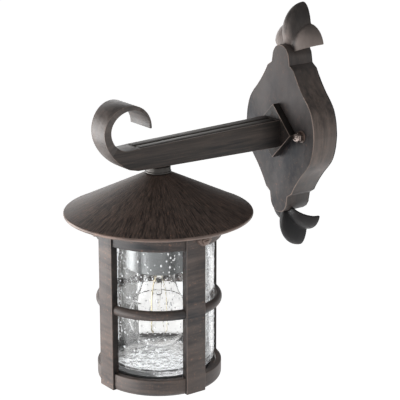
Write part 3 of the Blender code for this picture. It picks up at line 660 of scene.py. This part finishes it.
def makeFinials():
    top = addLeaf("leaf_finial_top", leafSet["middle"], 1, 0.0)
    for side in (1, -1):
        joinInto(top, addLeaf("sideLeaf", leafSet["side"], side, 0.0))
    joinInto(top, addLeaf("middleHollow", leafSet["middle"], 1, leafSet["wall"]), "DIFFERENCE")
    for side in (1, -1):
        joinInto(top, addLeaf("sideHollow", leafSet["side"], side, leafSet["wall"]), "DIFFERENCE")
    joinInto(top, addBox("leafBehind", (-60.0, leafSet["back"], 40.0), (60.0, 50.0, 150.0)), "DIFFERENCE")
    # Each side leaf ends on a slope, and the neck follows the plate's own outline
    hemX, hemZ, slope = leafSet["hem"]
    for side in (1, -1):
        low, high = sorted((-24.0 * side, 40.0 * side))
        hem = addBox("leafHem", (low, -40.0, -40.0), (high, 20.0, 0.0))
        hem.rotation_euler.y = -math.atan(slope) * side
        hem.location = Vector((hemX * side, 0.0, hemZ)) * mm
        applyPlace(hem)
        joinInto(top, hem, "DIFFERENCE")
    neck = traceLine("leafNeck", [(x, -2 * plateSet["depth"], z) for x, z in plateLine()], closed=True)
    pullOut(neck, 80.0)
    faceOut(neck)
    joinInto(top, neck, "DIFFERENCE")
    finishWith(top, "REMESH", mode="VOXEL", voxel_size=leafSet["grain"] * mm)
    finishWith(top, "SMOOTH", factor=0.5, iterations=4)
    finishWith(top, "DECIMATE", ratio=0.45)
    dress(top, paints["leafLitShadedPaint"], paints["rubbedEdge"])
    smoothShade(top, 60.0)
    # The lower copy keeps the leaf paint, whose colour by height paints it nearly black: painted shade
    bottom = copyOf(top, "leaf_finial_bottom", Matrix.Scale(-1.0, 4, (0.0, 0.0, 1.0)))
    faceOut(bottom)
    settle(top, "root", "bronze", "finial_top")
    settle(bottom, "root", "bronze", "finial_bottom")


rosetteSet = {"grow": 0.3, "edge": 0.4}
nutSet = {"across": 5.0, "hexHigh": 4.4, "dome": 4.3, "washerBore": 2.8, "washer": 5.9, "washerThick": 1.0}


def makeRosette():
    low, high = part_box("arm_rosette")
    # A square block with its corners up, down and to the sides
    half = (high.x - low.x) / mm / 2 / math.sqrt(2.0) + rosetteSet["grow"]
    rosette = addBox("diamond_rosette", (-half, low.y / mm, -half), (half, high.y / mm, half))
    rosette.rotation_euler.y = math.radians(45.0)
    applyPlace(rosette)
    # The rosette's face and sides are painted nearly black: painted shade
    dress(rosette, paints["paintedShadeDark"], paints["rubbedEdge"], paints["paintedShadeBlack"])
    dressFaces(rosette, 2, lambda at, normal: abs(normal.y) < 0.5)
    softEdges(rosette, rosetteSet["edge"], 3)
    smoothShade(rosette)
    settle(rosette, "root", "bronze", "arm_rosette")


def makeCapNuts():
    low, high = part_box("cap_nut_right")
    x = (low.x + high.x) / 2 / mm
    near, far = -high.y / mm, -low.y / mm
    start = -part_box("cap_washer_right")[1].y / mm
    # The nut is a hexagon with chamfered ends and a turned dome
    hexEnd = near + nutSet["hexHigh"]
    nut = addRod("plate_nut_right", nutSet["across"], (0.0, 0.0, near), (0.0, 0.0, hexEnd), 6)
    softEdges(nut, 0.35, 2, 25.0, 0)
    radius, foot = nutSet["dome"], near + 3.0
    dome = turnPiece("nutDome", [
        (0.0, foot), (radius, foot), (radius, far - radius + 0.1),
        *arcPoints((0.0, far - radius), radius, 2.0, 88.0, 10), (0.0, far),
    ], 40, closed=False, centre=(0.0, 0.0))
    joinInto(nut, dome)
    bore, rim, end = nutSet["washerBore"], nutSet["washer"], start + nutSet["washerThick"]
    washer = turnPiece("plate_washer_right", [
        (bore, start + 0.02, 0.2), (rim, start + 0.02, 0.3), (rim, end, 0.4), (bore, end, 0.2)
    ], 40, centre=(0.0, 0.0))
    toLeft = Matrix.Translation((-2 * x * mm, 0.0, 0.0))
    for piece, kind, finish in ((nut, "nut", metals["nickelPlate"]), (washer, "washer", paints["beadPaint"])):
        standOut(piece, Matrix.Translation((x * mm, 0.0, 0.0)))
        dress(piece, finish)
        smoothShade(piece)
        twin = copyOf(piece, f"plate_{kind}_left", toLeft)
        settle(piece, "root", "nickel", f"cap_{kind}_right")
        settle(twin, "root", "nickel", f"cap_{kind}_left")


armSet = {
    "back": (-39.0, 12.2, -13.7, 13.3), "front": (-205.0, 11.4, -11.3, 9.7),  # y, half width, underside, top
    "recess": 10.1, "recessDepth": 3.6, "recessEnds": (-202.5, -41.5),
    "cover": 8.9, "coverRise": 0.5, "coverThick": 3.6, "coverEnds": (-42.0, -202.0),
    "seam": 1.5, "seamDeep": 2.0,
    "channel": 7.0, "channelEnds": (-188.0, -54.0), "cutTop": 20.0,  # cutters stay under the curl's tip
    "curlRadius": 19.6, "rings": 54, "curlHalf": 11.3, "tipHalf": 16.3, "edge": 0.55,
    "strap": 7.6, "strapGrow": 10.5, "strapTip": 1.9,  # the curl's thickness, thicker at its start
}


def armTop(y):
    share = (y - armSet["back"][0]) / (armSet["front"][0] - armSet["back"][0])
    return armSet["back"][3] + (armSet["front"][3] - armSet["back"][3]) * share


def strapThickness(swept):
    # It thins quickly over the first quarter turn and slowly over the other two
    if swept < 90.0:
        return armSet["strap"] + armSet["strapGrow"] * (1.0 - swept / 90.0) ** 3
    return armSet["strapTip"] + (armSet["strap"] - armSet["strapTip"]) * ((270.0 - swept) / 180.0) ** 1.2


def strapHalf(swept):
    widen = min(max((swept - 80.0) / 110.0, 0.0), 1.0)
    return armSet["curlHalf"] + (armSet["tipHalf"] - armSet["curlHalf"]) * widen * widen * (3.0 - 2.0 * widen)


def moveEnd(step):
    bpy.ops.transform.translate(value=Vector(step) * mm)


def makeArm():
    y0, half0, low0, high0 = armSet["back"]
    y1, half1, low1, high1 = armSet["front"]
    arm = addBox("lantern_arm", (-half0, y1, low0), (half0, y0, high0))
    openEdit(arm)
    # The front end is narrower and lower than the wall end
    atFront = lambda co: co.y < (y1 + 1.0) * mm
    selectVerts(arm, atFront)
    bpy.ops.transform.resize(value=(half1 / half0, 1.0, 1.0), center_override=(0.0, y1 * mm, 0.0))
    selectVerts(arm, lambda co: atFront(co) and co.z > 0.0)
    moveEnd((0.0, 0.0, high1 - high0))
    selectVerts(arm, lambda co: atFront(co) and co.z < 0.0)
    moveEnd((0.0, 0.0, low1 - low0))
    # The end face is drawn out to the curl's start, then round its centre, thinner and wider to the tip
    centreY, centreZ = curlCentre
    radius = armSet["curlRadius"]
    bpy.ops.mesh.select_mode(type="FACE")
    selectFaces(arm, lambda at, normal: normal.y < -0.9)
    bpy.ops.mesh.extrude_region_move(TRANSFORM_OT_translate={"value": (0.0, (centreY - y1) * mm, 0.0)})
    bpy.ops.mesh.select_mode(type="VERT")
    atStart = lambda co: co.y < (centreY + 0.5) * mm
    selectVerts(arm, lambda co: atStart(co) and co.z > 0.0)
    moveEnd((0.0, 0.0, centreZ - radius - high1))
    selectVerts(arm, lambda co: atStart(co) and co.z < 0.0)
    moveEnd((0.0, 0.0, centreZ - radius - strapThickness(0.0) - low1))
    selectVerts(arm, atStart)
    centre = Vector((0.0, centreY, centreZ)) * mm
    bpy.ops.transform.resize(value=(strapHalf(0.0) / half1, 1.0, 1.0), center_override=centre)
    step = 270.0 / armSet["rings"]
    for i in range(armSet["rings"]):
        swept = step * (i + 1)
        bpy.ops.mesh.extrude_region_move(TRANSFORM_OT_translate={"value": (0.0, 0.0, 0.0)})
        bpy.ops.transform.rotate(
            value=math.radians(step), orient_axis="X", orient_type="GLOBAL", center_override=centre
        )
        data = bmesh.from_edit_mesh(arm.data)
        ring = [vert for vert in data.verts if vert.select]
        reach = [((vert.co - centre) * Vector((0.0, 1.0, 1.0))).length for vert in ring]
        thinner = (strapThickness(swept) - strapThickness(swept - step)) * mm
        for vert, far in zip(ring, reach):
            if far > (radius + 0.4) * mm:
                out = ((vert.co - centre) * Vector((0.0, 1.0, 1.0))).normalized()
                vert.co += out * thinner
            vert.co.x = math.copysign(strapHalf(swept) * mm, vert.co.x)
        bmesh.update_edit_mesh(arm.data)
    bpy.ops.mesh.select_all(action="SELECT")
    bpy.ops.mesh.normals_make_consistent(inside=False)
    closeEdit()
    # The cover's recess follows the sloping top, and the cable's channel lies under it
    half, top, ends = armSet["recess"], armSet["cutTop"], armSet["recessEnds"]
    recess = addBox("coverRecess", (-half, ends[0], 0.0), (half, ends[1], top))
    openEdit(recess)
    for end in ends:
        selectVerts(recess, lambda co: abs(co.y - end * mm) < mm and co.z < top / 2 * mm)
        moveEnd((0.0, 0.0, armTop(end) - armSet["recessDepth"]))
    closeEdit()
    joinInto(arm, recess, "DIFFERENCE")
    nippleHole = addRod("nippleHole", holeSet["nipple"], (0.0, axisY, -20.0), (0.0, axisY, 12.0))
    joinInto(arm, nippleHole, "DIFFERENCE")
    half, ends = armSet["channel"], armSet["channelEnds"]
    joinInto(arm, addBox("armChannel", (-half, ends[0], -9.0), (half, ends[1], top)), "DIFFERENCE")
    high = holeSet["screwHigh"]
    for z, kind in ((0.0, "cable"), (high, "screw"), (-high, "screw")):
        hole = addRod("armHole", holeSet[kind], (0.0, ends[1] - 2.0, z), (0.0, y0 + 9.0, z), 32, alongY)
        joinInto(arm, hole, "DIFFERENCE")
    dress(arm, paints["armPaint"], paints["rubbedEdge"], paints["curlPaint"], paints["litCoverPaint"])
    curlStart = y1 - 1.0
    dressFaces(arm, 2, lambda at, normal: at.y < curlStart and (at.z > 10.0 or abs(normal.x) < 0.5))
    # Faces that look up over the arm take the cover's lighter paint: painted light on the top
    dressFaces(arm, 3, lambda at, normal: at.y > curlStart and normal.z > 0.8 and at.z > 8.0)
    softEdges(arm, armSet["edge"], 3, 38.0)
    # The tip hangs back over the arm, and its underside is painted as dark as the arm's sides: painted shade
    # under the tip
    atTip = lambda at: at.y > y1 + 2.0 and at.z > top + 2.0
    dressFaces(arm, 2, lambda at, normal: atTip(at))
    dressFaces(arm, 0, lambda at, normal: atTip(at) and normal.z < -0.6)
    smoothShade(arm, 40.0)
    settle(arm, "root", "bronze", "arm", "arm_curl")


def liftEnds(piece):
    # A level bar is tilted to lie along the arm's sloping top
    openEdit(piece)
    for end in armSet["coverEnds"]:
        selectVerts(piece, lambda co: abs(co.y - end * mm) < 4.0 * mm)
        moveEnd((0.0, 0.0, armTop(end) + armSet["coverRise"]))
    closeEdit()


def makeArmCover():
    back, front = armSet["coverEnds"]
    half, seam = armSet["cover"], armSet["seam"]
    cover = addBox("arm_cover", (-half, front, -armSet["coverThick"]), (half, back, 0.0))
    liftEnds(cover)
    groove = addBox("coverSeam", (-seam, front - 2.0, -armSet["seamDeep"]), (seam, back + 2.0, 6.0))
    liftEnds(groove)
    joinInto(cover, groove, "DIFFERENCE")
    # The cover takes the arm's paint made lighter: painted light on the top, and painted shade towards the
    # wall
    dress(cover, paints["litCoverPaint"], paints["rubbedEdge"])
    softEdges(cover, 0.9, 4, 38.0, 0)
    smoothShade(cover)
    settle(cover, "root", "bronze", "arm_cover_strip")


roofSet = {
    "radius": 90.0, "rim": -57.0, "rise": 43.3, "sheet": 1.5, "bead": 2.2, "collar": 12.5, "steps": 144,
    "spigotInner": 53.4, "spigotOuter": 55.2,
}


def coneHeight(radius):
    return roofSet["rim"] + roofSet["rise"] * (1.0 - radius / roofSet["radius"])


def makeRoof():
    edge = roofSet["radius"] - roofSet["bead"]
    bead = arcPoints((edge, roofSet["rim"] - roofSet["bead"] + 1.0), roofSet["bead"], 78.0, -190.0, 20)
    flat = coneHeight(roofSet["collar"])
    run = [roofSet["collar"] + 0.6 + (edge - 4.0 - roofSet["collar"]) * i / 10 for i in range(11)]
    outside = [(radius, coneHeight(radius)) for radius in run]
    inside = [(radius, coneHeight(radius) - roofSet["sheet"]) for radius in reversed(run)]
    bore = holeSet["nipple"]
    roof = turnPiece("cone_roof", [
        (bore, flat), (roofSet["collar"], flat, 0.4), *outside[1:], *bead,
        *inside[:-1], (bore, flat - roofSet["sheet"]),
    ], roofSet["steps"])
    dress(roof, paints["roofPaint"], paints["beadPaint"])
    dressFaces(roof, 1, lambda at, normal: at.z < roofSet["rim"] + 0.2 and normal.z < 0.6)
    smoothShade(roof, 50.0)
    settle(roof, "root", "roof_bronze", "roof")
    low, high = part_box("roof_spigot")
    bottom, top = low.z / mm, high.z / mm - 0.2
    inner, outer = roofSet["spigotInner"], roofSet["spigotOuter"]
    spigot = turnPiece("roof_spigot_ring", [
        (inner, top, 0.3), (outer, top, 0.3), (outer, bottom, 0.5), (inner, bottom, 0.5)
    ], 96)
    dress(spigot, paints["castPaint"])
    smoothShade(spigot)
    settle(spigot, "root", "bronze", "roof_spigot")


def makeCollar():
    low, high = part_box("spacer_collar")
    bottom, top, radius, bore = low.z / mm, high.z / mm, roofSet["collar"], holeSet["nipple"]
    collar = turnPiece("roof_collar", [
        (bore, bottom, 0.3), (radius, bottom, 0.9), (radius, bottom + 2.0, 0.3),
        (radius - 0.5, bottom + 2.3, 0.2), (radius - 0.5, top - 0.9, 0.3),
        (radius - 1.4, top, 0.4), (bore, top, 0.3),
    ], 72)
    dress(collar, metals["platedCollar"])
    smoothShade(collar)
    settle(collar, "root", "plated_steel", "spacer_collar")


lampSet = {
    "cup": 31.0, "cupTop": -65.0, "cupLow": -111.8, "sheet": 1.2,
    "holder": 19.0, "holderTop": -73.0, "holderLow": -110.0, "mouth": 14.4, "threadTop": -86.0,
}


def makeHolder():
    radius, top, low, bore = lampSet["cup"], lampSet["cupTop"], lampSet["cupLow"], holeSet["nipple"]
    inner, under = radius - lampSet["sheet"], top - lampSet["sheet"]
    cup = turnPiece("holder_cup", [
        (bore, top), (radius, top, 6.0), (radius, low + 1.4, 0.4), (radius - 0.3, low, 0.5),
        (inner - 0.4, low, 0.4), (inner, low + 2.0), (inner, under, 5.0), (bore, under),
    ], 96, rounding=7)
    dress(cup, metals["greyCup"])
    smoothShade(cup)
    settle(cup, "root", "grey_cup", "lampholder_cup")
    outer, top, low = lampSet["holder"], lampSet["holderTop"], lampSet["holderLow"]
    mouth, deep, groove = lampSet["mouth"], lampSet["threadTop"], outer - 0.9
    holder = turnPiece("holder_body", [
        (bore, top), (outer - 5.0, top, 1.5), (outer, top - 5.0, 1.5),
        (outer, -92.0, 0.4), (groove, -93.0, 0.4), (groove, -95.0, 0.4), (outer, -96.0, 0.4),
        (outer, low, 1.2), (mouth + 0.4, low, 0.6), (mouth, deep),
        (4.0, deep), (4.0, deep + 4.5), (bore, deep + 4.5),
    ], 72)
    dress(holder, stuffs["porcelain"])
    smoothShade(holder)
    settle(holder, "root", "porcelain", "lampholder")


bulbSet = {
    "centre": -163.0, "radius": 29.9, "wall": 0.5, "neck": -113.3, "capTop": -88.4, "capLow": -113.0,
    "turns": 5, "pitch": 3.4, "thread": (12.3, 13.1), "loops": 30, "lift": 17.0,
    "wires": (0.75, 0.4, 0.14, 0.16, 0.16),  # radii of the two leads, the coil and the two hooks
}


def makeBulb():
    neck, centre, radius, wall = bulbSet["neck"], bulbSet["centre"], bulbSet["radius"], bulbSet["wall"]
    shape = curveThrough([(14.2, neck), (14.7, -119.0), (16.0, -127.0), (18.9, -137.0), (23.4, -144.6)], 5)
    ball = arcPoints((0.0, centre), radius, 38.0, -90.0, 26)
    inside = [(out - wall, z) for out, z in shape] + arcPoints((0.0, centre), radius - wall, 38.0, -90.0, 26)
    bulb = turnPiece("bulb_envelope", [*shape, *ball, *reversed(inside)], 96)
    dress(bulb, glasses["bulbGlass"])
    smoothShade(bulb, 60.0)
    settle(bulb, "bulb", "bulb_glass", "bulb_glass")
    # The flared stem and the button that holds the hooks
    mount = turnPiece("bulb_mount", [
        (0.0, neck + 0.2), (9.3, neck + 0.2, 0.3), (7.2, -115.6), (4.6, -120.0, 1.0), (3.1, -128.0, 2.0),
        (2.7, -138.0, 1.0), (3.2, -140.0, 0.8), (1.6, -142.0, 0.5), (1.3, -147.0, 0.4), (0.0, -147.6),
    ], 40, closed=False)
    dress(mount, glasses["bulbGlass"])
    smoothShade(mount, 50.0)
    settle(mount, "bulb", "bulb_glass", "bulb_stem")
    # A rolled thread with its soldered tip
    top, low, pitch = bulbSet["capTop"], bulbSet["capLow"], bulbSet["pitch"]
    root, crest = bulbSet["thread"]
    thread = []
    for i in range(bulbSet["turns"]):
        start = top - 5.0 - i * pitch
        thread += [(root, start, 0.5), (crest, start - pitch / 2, 0.7)]
    cap = turnPiece("bulb_screw_cap", [
        (0.0, top), (3.6, top - 0.1, 0.4), (4.6, top - 1.2, 0.4), (6.6, top - 1.8, 0.3),
        (11.6, top - 3.8, 0.8), *thread,
        (root + 0.3, top - 22.0, 0.3), (crest, low + 0.4, 0.3), (root + 0.1, low), (0.0, low),
    ], 64, closed=False)
    dress(cap, metals["capAluminium"])
    smoothShade(cap)
    settle(cap, "bulb", "nickel", "bulb_cap")
    makeFilament()


def makeFilament():
    # The two leads run down from the mount and carry the coil between their feet
    lead = [
        (1.2, 1.6, -122.0), (3.2, 4.4, -132.0), (4.2, 5.8, -146.0), (4.4, 6.0, -178.0), (3.4, 4.6, -181.0),
    ]
    wires = [[(x * side, y * side, z) for x, y, z in lead] for side in (-1, 1)]
    footX, footY, footZ = lead[-1]
    coil = []
    bends = bulbSet["loops"] * 2
    for i in range(bends + 1):
        # It zigzags from foot to foot, held up in the middle by the hooks
        share = i / bends
        swing = 0.55 if i % 2 else -0.55
        x = footX * (1 - 2 * share) + swing * 0.8
        y = footY * (1 - 2 * share) - swing * 0.6
        coil.append((x, y, footZ + bulbSet["lift"] * math.sin(math.pi * share)))
    wires.append(coil)
    for side in (-1.0, 1.0):
        wires.append([(0.0, 0.0, -146.0), (0.6 * side, 0.8 * side, -156.0), (side, 1.4 * side, -165.5)])
    pieces = []
    for i, points in enumerate(wires):
        curve = bpy.data.curves.new(f"wire{i}", "CURVE")
        curve.dimensions = "3D"
        curve.bevel_depth = bulbSet["wires"][i] * mm
        curve.bevel_resolution = 1
        curve.use_fill_caps = True
        spline = curve.splines.new("POLY")
        spline.points.add(len(points) - 1)
        for spot, (x, y, z) in zip(spline.points, points):
            spot.co = (x * mm, (y + axisY) * mm, z * mm, 1.0)
        wire = bpy.data.objects.new(f"wire{i}", curve)
        scene.collection.objects.link(wire)
        makeActive(wire)
        bpy.ops.object.convert(target="MESH")
        pieces.append(bpy.context.active_object)
    clearSelection()
    for piece in pieces:
        piece.select_set(True)
    bpy.context.view_layer.objects.active = pieces[0]
    bpy.ops.object.join()
    filament = named("bulb_filament")
    dress(filament, metals["filamentWire"])
    smoothShade(filament, 60.0)
    settle(filament, "bulb", "zinc_steel")


cageSet = {
    "bandOuter": 60.3, "bandInner": 55.5, "bandLow": -79.5, "bandTop": -47.2, "lip": 63.6,
    "postHalf": 10.8, "postFace": 61.2, "postBack": 54.0, "postLow": -222.6, "postTop": -49.0,
    "baseOuter": 60.0, "baseInner": 44.0, "baseTop": -206.3, "baseLow": -223.6,
    "seat": 3.5, "seatOuter": 54.4,
    "rodHigh": 4.9, "rodDeep": 3.5, "rodRadius": 57.0, "rodZ": -142.5,
    "screws": (99.0, 219.0, 339.0), "screwZ": -72.0,
    "boss": 5.6, "bossStart": 56.5, "bossEnd": 63.6, "bossWide": 1.45, "spigotRoom": 55.45,
}


def roundAxis(turn, z=0.0):
    # From a place made about the world's upright line, to height z on the lantern's axis and round it
    return Matrix.Translation((0.0, axisY * mm, z * mm)) @ Matrix.Rotation(math.radians(turn), 4, "Z")


def outward(at):
    # The level arrow from the lantern's axis to a place
    return Vector((at.x, at.y - axisY, 0.0))


def makeCage():
    s = cageSet
    outer, inner, low, top = s["bandOuter"], s["bandInner"], s["bandLow"], s["bandTop"]
    band = turnPiece("cage_casting", [
        (outer, low, 0.8), (outer, -60.0, 3.0), (s["lip"], top - 1.0, 0.7),
        (s["lip"] - 1.0, top, 0.5), (inner, top, 0.6), (inner, low, 0.6),
    ], 144)
    room = addRod("spigotRoom", s["spigotRoom"], (0.0, axisY, low + 0.6), (0.0, axisY, -40.0), 144)
    outer, inner, low, top = s["baseOuter"], s["baseInner"], s["baseLow"], s["baseTop"]
    seat = top - s["seat"]
    base = turnPiece("baseRing", [
        (outer, top, 0.8), (outer, low, 5.6), (inner, low, 0.8), (inner, seat, 0.4),
        (s["seatOuter"], seat, 0.3), (s["seatOuter"], top, 0.6),
    ], 144, rounding=8)
    joinInto(band, base)
    half = s["postHalf"]
    for i in range(4):
        post = addBox("post", (-half, -s["postFace"], s["postLow"]), (half, -s["postBack"], s["postTop"]))
        softEdges(post, 0.7, 3, 32.0, 0)
        post.matrix_world = roundAxis(90.0 * i)
        applyPlace(post)
        joinInto(band, post)
    joinInto(band, room, "DIFFERENCE")  # the posts leave room for the roof's spigot inside the band
    start, end = s["bossStart"], s["bossEnd"]
    for turn in s["screws"]:
        boss = turnPiece("boss", [
            (0.0, start), (s["boss"] + 0.6, start), (s["boss"], end, 0.8), (0.0, end)
        ], 40, False, (0.0, 0.0))
        openEdit(boss)
        bpy.ops.mesh.select_all(action="SELECT")
        bpy.ops.transform.resize(value=(s["bossWide"], 1.0, 1.0), center_override=(0.0, 0.0, 0.0))
        closeEdit()
        hole = addRod("bossHole", holeSet["screw"], (0.0, 0.0, start - 6.5), (0.0, 0.0, end + 6.4), 24)
        for piece, operation in ((boss, "UNION"), (hole, "DIFFERENCE")):
            standOut(piece, roundAxis(turn, s["screwZ"]))
            joinInto(band, piece, operation)
    dress(band, paints["castPaint"], paints["beadPaint"], paints["litInnerPaint"], paints["paintedShadeDark"])
    # The lip is rubbed, the posts' flanks are painted dark as painted shade, and the inner faces are painted
    # pale as painted light
    facing = lambda at, normal: normal.dot(outward(at).normalized())
    dressFaces(band, 1, lambda at, normal: outward(at).length > s["lip"] - 1.6 and at.z < -60.0)
    flank = lambda at, normal: abs(facing(at, normal)) < 0.4 and abs(normal.z) < 0.3
    dressFaces(band, 3, lambda at, normal: at.z < s["bandLow"] - 0.5 and flank(at, normal))
    dressFaces(band, 2, lambda at, normal: outward(at).length < s["rodRadius"] and facing(at, normal) < -0.5)
    smoothShade(band, 32.0)
    settle(band, "cage", "bronze", "cage_band", "base_ring", *[f"cage_post_{i}" for i in (1, 2, 3, 4)])

    sides = 32
    oval = [
        (s["rodRadius"] + x * s["rodDeep"], s["rodZ"] + z * s["rodHigh"])
        for x, z in arcPoints((0.0, 0.0), 1.0, 0.0, 360.0, sides)[:-1]
    ]
    rod = turnPiece("cage_rod_ring", oval, 144)
    dress(rod, paints["castPaint"])
    smoothShade(rod, 60.0)
    settle(rod, "cage", "bronze", *[f"ring_rod_{i}" for i in (1, 2, 3, 4)])


def makeCageScrews():
    for i, turn in enumerate(cageSet["screws"], 1):
        # A low domed head, then its shank down to its end
        screw = turnPiece(f"cage_screw_head_{i}", [
            (0.0, 66.0), (2.8, 65.7, 0.9), (4.6, 64.6, 0.5), (4.6, 64.0, 0.2),
            (2.0, 64.0), (2.0, 55.6, 0.4), (0.0, 55.6),
        ], 40, False, (0.0, 0.0))
        slot = addBox("slot", (-5.0, -0.5, 65.1), (5.0, 0.5, 68.0))
        joinInto(screw, slot, "DIFFERENCE")
        standOut(screw, roundAxis(turn, cageSet["screwZ"]))
        dress(screw, paints["beadPaint"])
        smoothShade(screw)
        settle(screw, "cage", "nickel", f"cage_screw_{i}")


glassSet = {
    "outer": 52.8, "wall": 3.0, "floor": 5.0, "top": -62.0, "low": -207.7, "footHigh": 9.0,
    "innerBend": 6.0, "outerBend": 8.0, "rings": (-100.0, -150.0),
    "seeds": 1200, "seedSizes": (0.40, 0.50, 0.62, 0.74, 0.92),
}


def makeGlass():
    outer, inner = glassSet["outer"], glassSet["outer"] - glassSet["wall"]
    low, top, floor = glassSet["low"], glassSet["top"], glassSet["low"] + glassSet["floor"]
    bend, outerBend = glassSet["innerBend"], glassSet["outerBend"]
    upper, lower = glassSet["rings"]
    glass = turnPiece("seeded_glass_jar", [
        (0.0, floor), *arcPoints((inner - bend, floor + bend), bend, -90.0, 0.0, 10),
        (inner, lower), (inner, upper), (inner, top, 0.8), (outer, top, 0.8), (outer, upper), (outer, lower),
        *arcPoints((outer - outerBend, low + outerBend), outerBend, 0.0, -90.0, 10), (0.0, low),
    ], 128, closed=False)
    dress(glass, glasses["seededGlass"], glasses["footGlass"])
    dressFaces(glass, 1, lambda at, normal: at.z < low + glassSet["footHigh"])
    smoothShade(glass, 50.0)
    settle(glass, "cage", "seeded_glass", "glass_cylinder")

    # Small drawn-out bubbles stand half out of the jar's skin, painted white as painted glints
    clearSelection()
    bpy.ops.mesh.primitive_uv_sphere_add(segments=8, ring_count=5, radius=mm, location=(0.0, 0.0, 0.0))
    bubble = named("glass_seeds")
    joined = bmesh.new()
    reach = outer + 0.02
    for i in range(glassSet["seeds"]):
        turn = random.uniform(0.0, 2 * math.pi)
        height = random.uniform(low + 10.0, top - 4.0)
        size = random.choice(glassSet["seedSizes"])
        tall = size * random.uniform(1.0, 1.7)
        at = Matrix.Translation(Vector((reach * math.cos(turn), axisY + reach * math.sin(turn), height)) * mm)
        twin = bubble.data.copy()
        twin.transform(at @ Matrix.Rotation(turn, 4, "Z") @ Matrix.Diagonal((size * 0.6, size, tall, 1.0)))
        joined.from_mesh(twin)
        bpy.data.meshes.remove(twin)
    joined.to_mesh(bubble.data)
    joined.free()
    dress(bubble, stuffs["seedGlintWhite"])
    smoothShade(bubble, 80.0)
    settle(bubble, "cage", "seeded_glass")


makePlate()
makeFinials()
makeRosette()
makeCapNuts()
print("wall plate, leaves, rosette and cap nuts made")
makeArm()
makeArmCover()
print("arm made")
makeRoof()
makeCollar()
makeHolder()
makeBulb()
print("roof, holder and bulb made")
makeCage()
makeCageScrews()
makeGlass()
print("cage and glass made")


# The frame's own solids that stay in sight only get a finish
keptNodes = {
    "blackRubber": ["wall_gasket", "roof_seal", "glass_seat"],
    "whiteNylon": ["terminal_block"],
    "leadSheath": ["supply_lead"],
    "holderBrass": ["lampholder_thread", "lampholder_contact", "earth_screw"],
    "zincSteel": [
        "wall_bracket", "terminal_screw", "threaded_nipple", "wall_screw_left", "wall_screw_right",
        "bracket_stud_left", "bracket_stud_right", "arm_screw_upper", "arm_screw_lower",
        "nut_in_arm", "nut_under_roof", "nut_over_cup", "nut_in_cup",
    ],
}
finishes = {**metals, **stuffs}
for finish, labels in keptNodes.items():
    for label in labels:
        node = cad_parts[label]
        if not node.material_slots:
            node.data.materials.append(finishes[finish])
        for place in node.material_slots:
            place.material = finishes[finish]
print("kept solids painted")

# Floor, light and camera
white = (1.0, 1.0, 1.0, 1.0)
stageSet = {"floorZ": -1.1, "glow": 0.80, "world": 0.26, "seen": 1.1, "paper": (0.93, 0.93, 0.93, 1.0)}
clearSelection()
bpy.ops.mesh.primitive_plane_add(size=60.0, location=(0.0, 0.0, stageSet["floorZ"]))
floor = named("floor")
dress(floor, startMaterial(
    "floorPaper", Base_Color=stageSet["paper"], Roughness=0.9, Emission_Color=white,
    Emission_Strength=stageSet["glow"],
)[0])

world = bpy.data.worlds.new("studio")
scene.world = world
world.use_nodes = True
tree = world.node_tree
tree.nodes.clear()
soft = addNode(tree, "ShaderNodeBackground", {"Color": white, "Strength": stageSet["world"]})
seen = addNode(tree, "ShaderNodeBackground", {"Color": white, "Strength": stageSet["seen"]})
addNode(tree, "ShaderNodeOutputWorld", {"Surface": mixByRay(tree, "Is Camera Ray", soft, seen)})

# Each light: azimuth and elevation in degrees, distance and size in metres, watts, and the place it looks at
lightSet = {
    "key": (-52.0, -2.0, 0.95, 0.8, 10.5, (0.0, -0.22, -0.08)),
    "low": (-8.0, -17.0, 0.75, 0.6, 4.0, (0.0, -0.1755, -0.14)),
    "rim": (-108.0, 12.0, 1.2, 0.8, 3.6, (0.0, -0.1755, -0.05)),
    "front": (30.0, 35.0, 2.2, 1.0, 4.0, (0.0, -0.11, -0.06)),
    "right": (98.0, 22.0, 2.0, 1.0, 3.0, (0.0, -0.11, -0.06)),
}
for label, (azimuth, elevation, distance, size, power, aim) in lightSet.items():
    across, up = math.radians(azimuth), math.radians(elevation)
    way = Vector((math.sin(across) * math.cos(up), -math.cos(across) * math.cos(up), math.sin(up)))
    data = bpy.data.lights.new(label, "AREA")
    data.energy = power
    data.shape = "SQUARE"
    data.size = size
    lamp = bpy.data.objects.new(label, data)
    lamp.visible_camera = False
    scene.collection.objects.link(lamp)
    lamp.location = Vector(aim) + way * distance
    lamp.rotation_euler = way.to_track_quat("Z", "Y").to_euler()

cameraSet = {"place": (1.1950, -0.9975, 0.3872), "aim": (-0.0186, -0.1132, -0.0625), "lens": 144.2}
view = bpy.data.cameras.new("camera")
view.lens = cameraSet["lens"]
view.sensor_width = 36.0
view.clip_start = 0.05
view.clip_end = 100.0
camera = bpy.data.objects.new("camera", view)
scene.collection.objects.link(camera)
camera.location = cameraSet["place"]
camera.rotation_euler = (Vector(cameraSet["aim"]) - camera.location).to_track_quat("-Z", "Y").to_euler()
scene.camera = camera
scene.view_settings.view_transform = "Standard"
print("stage, light and camera set")
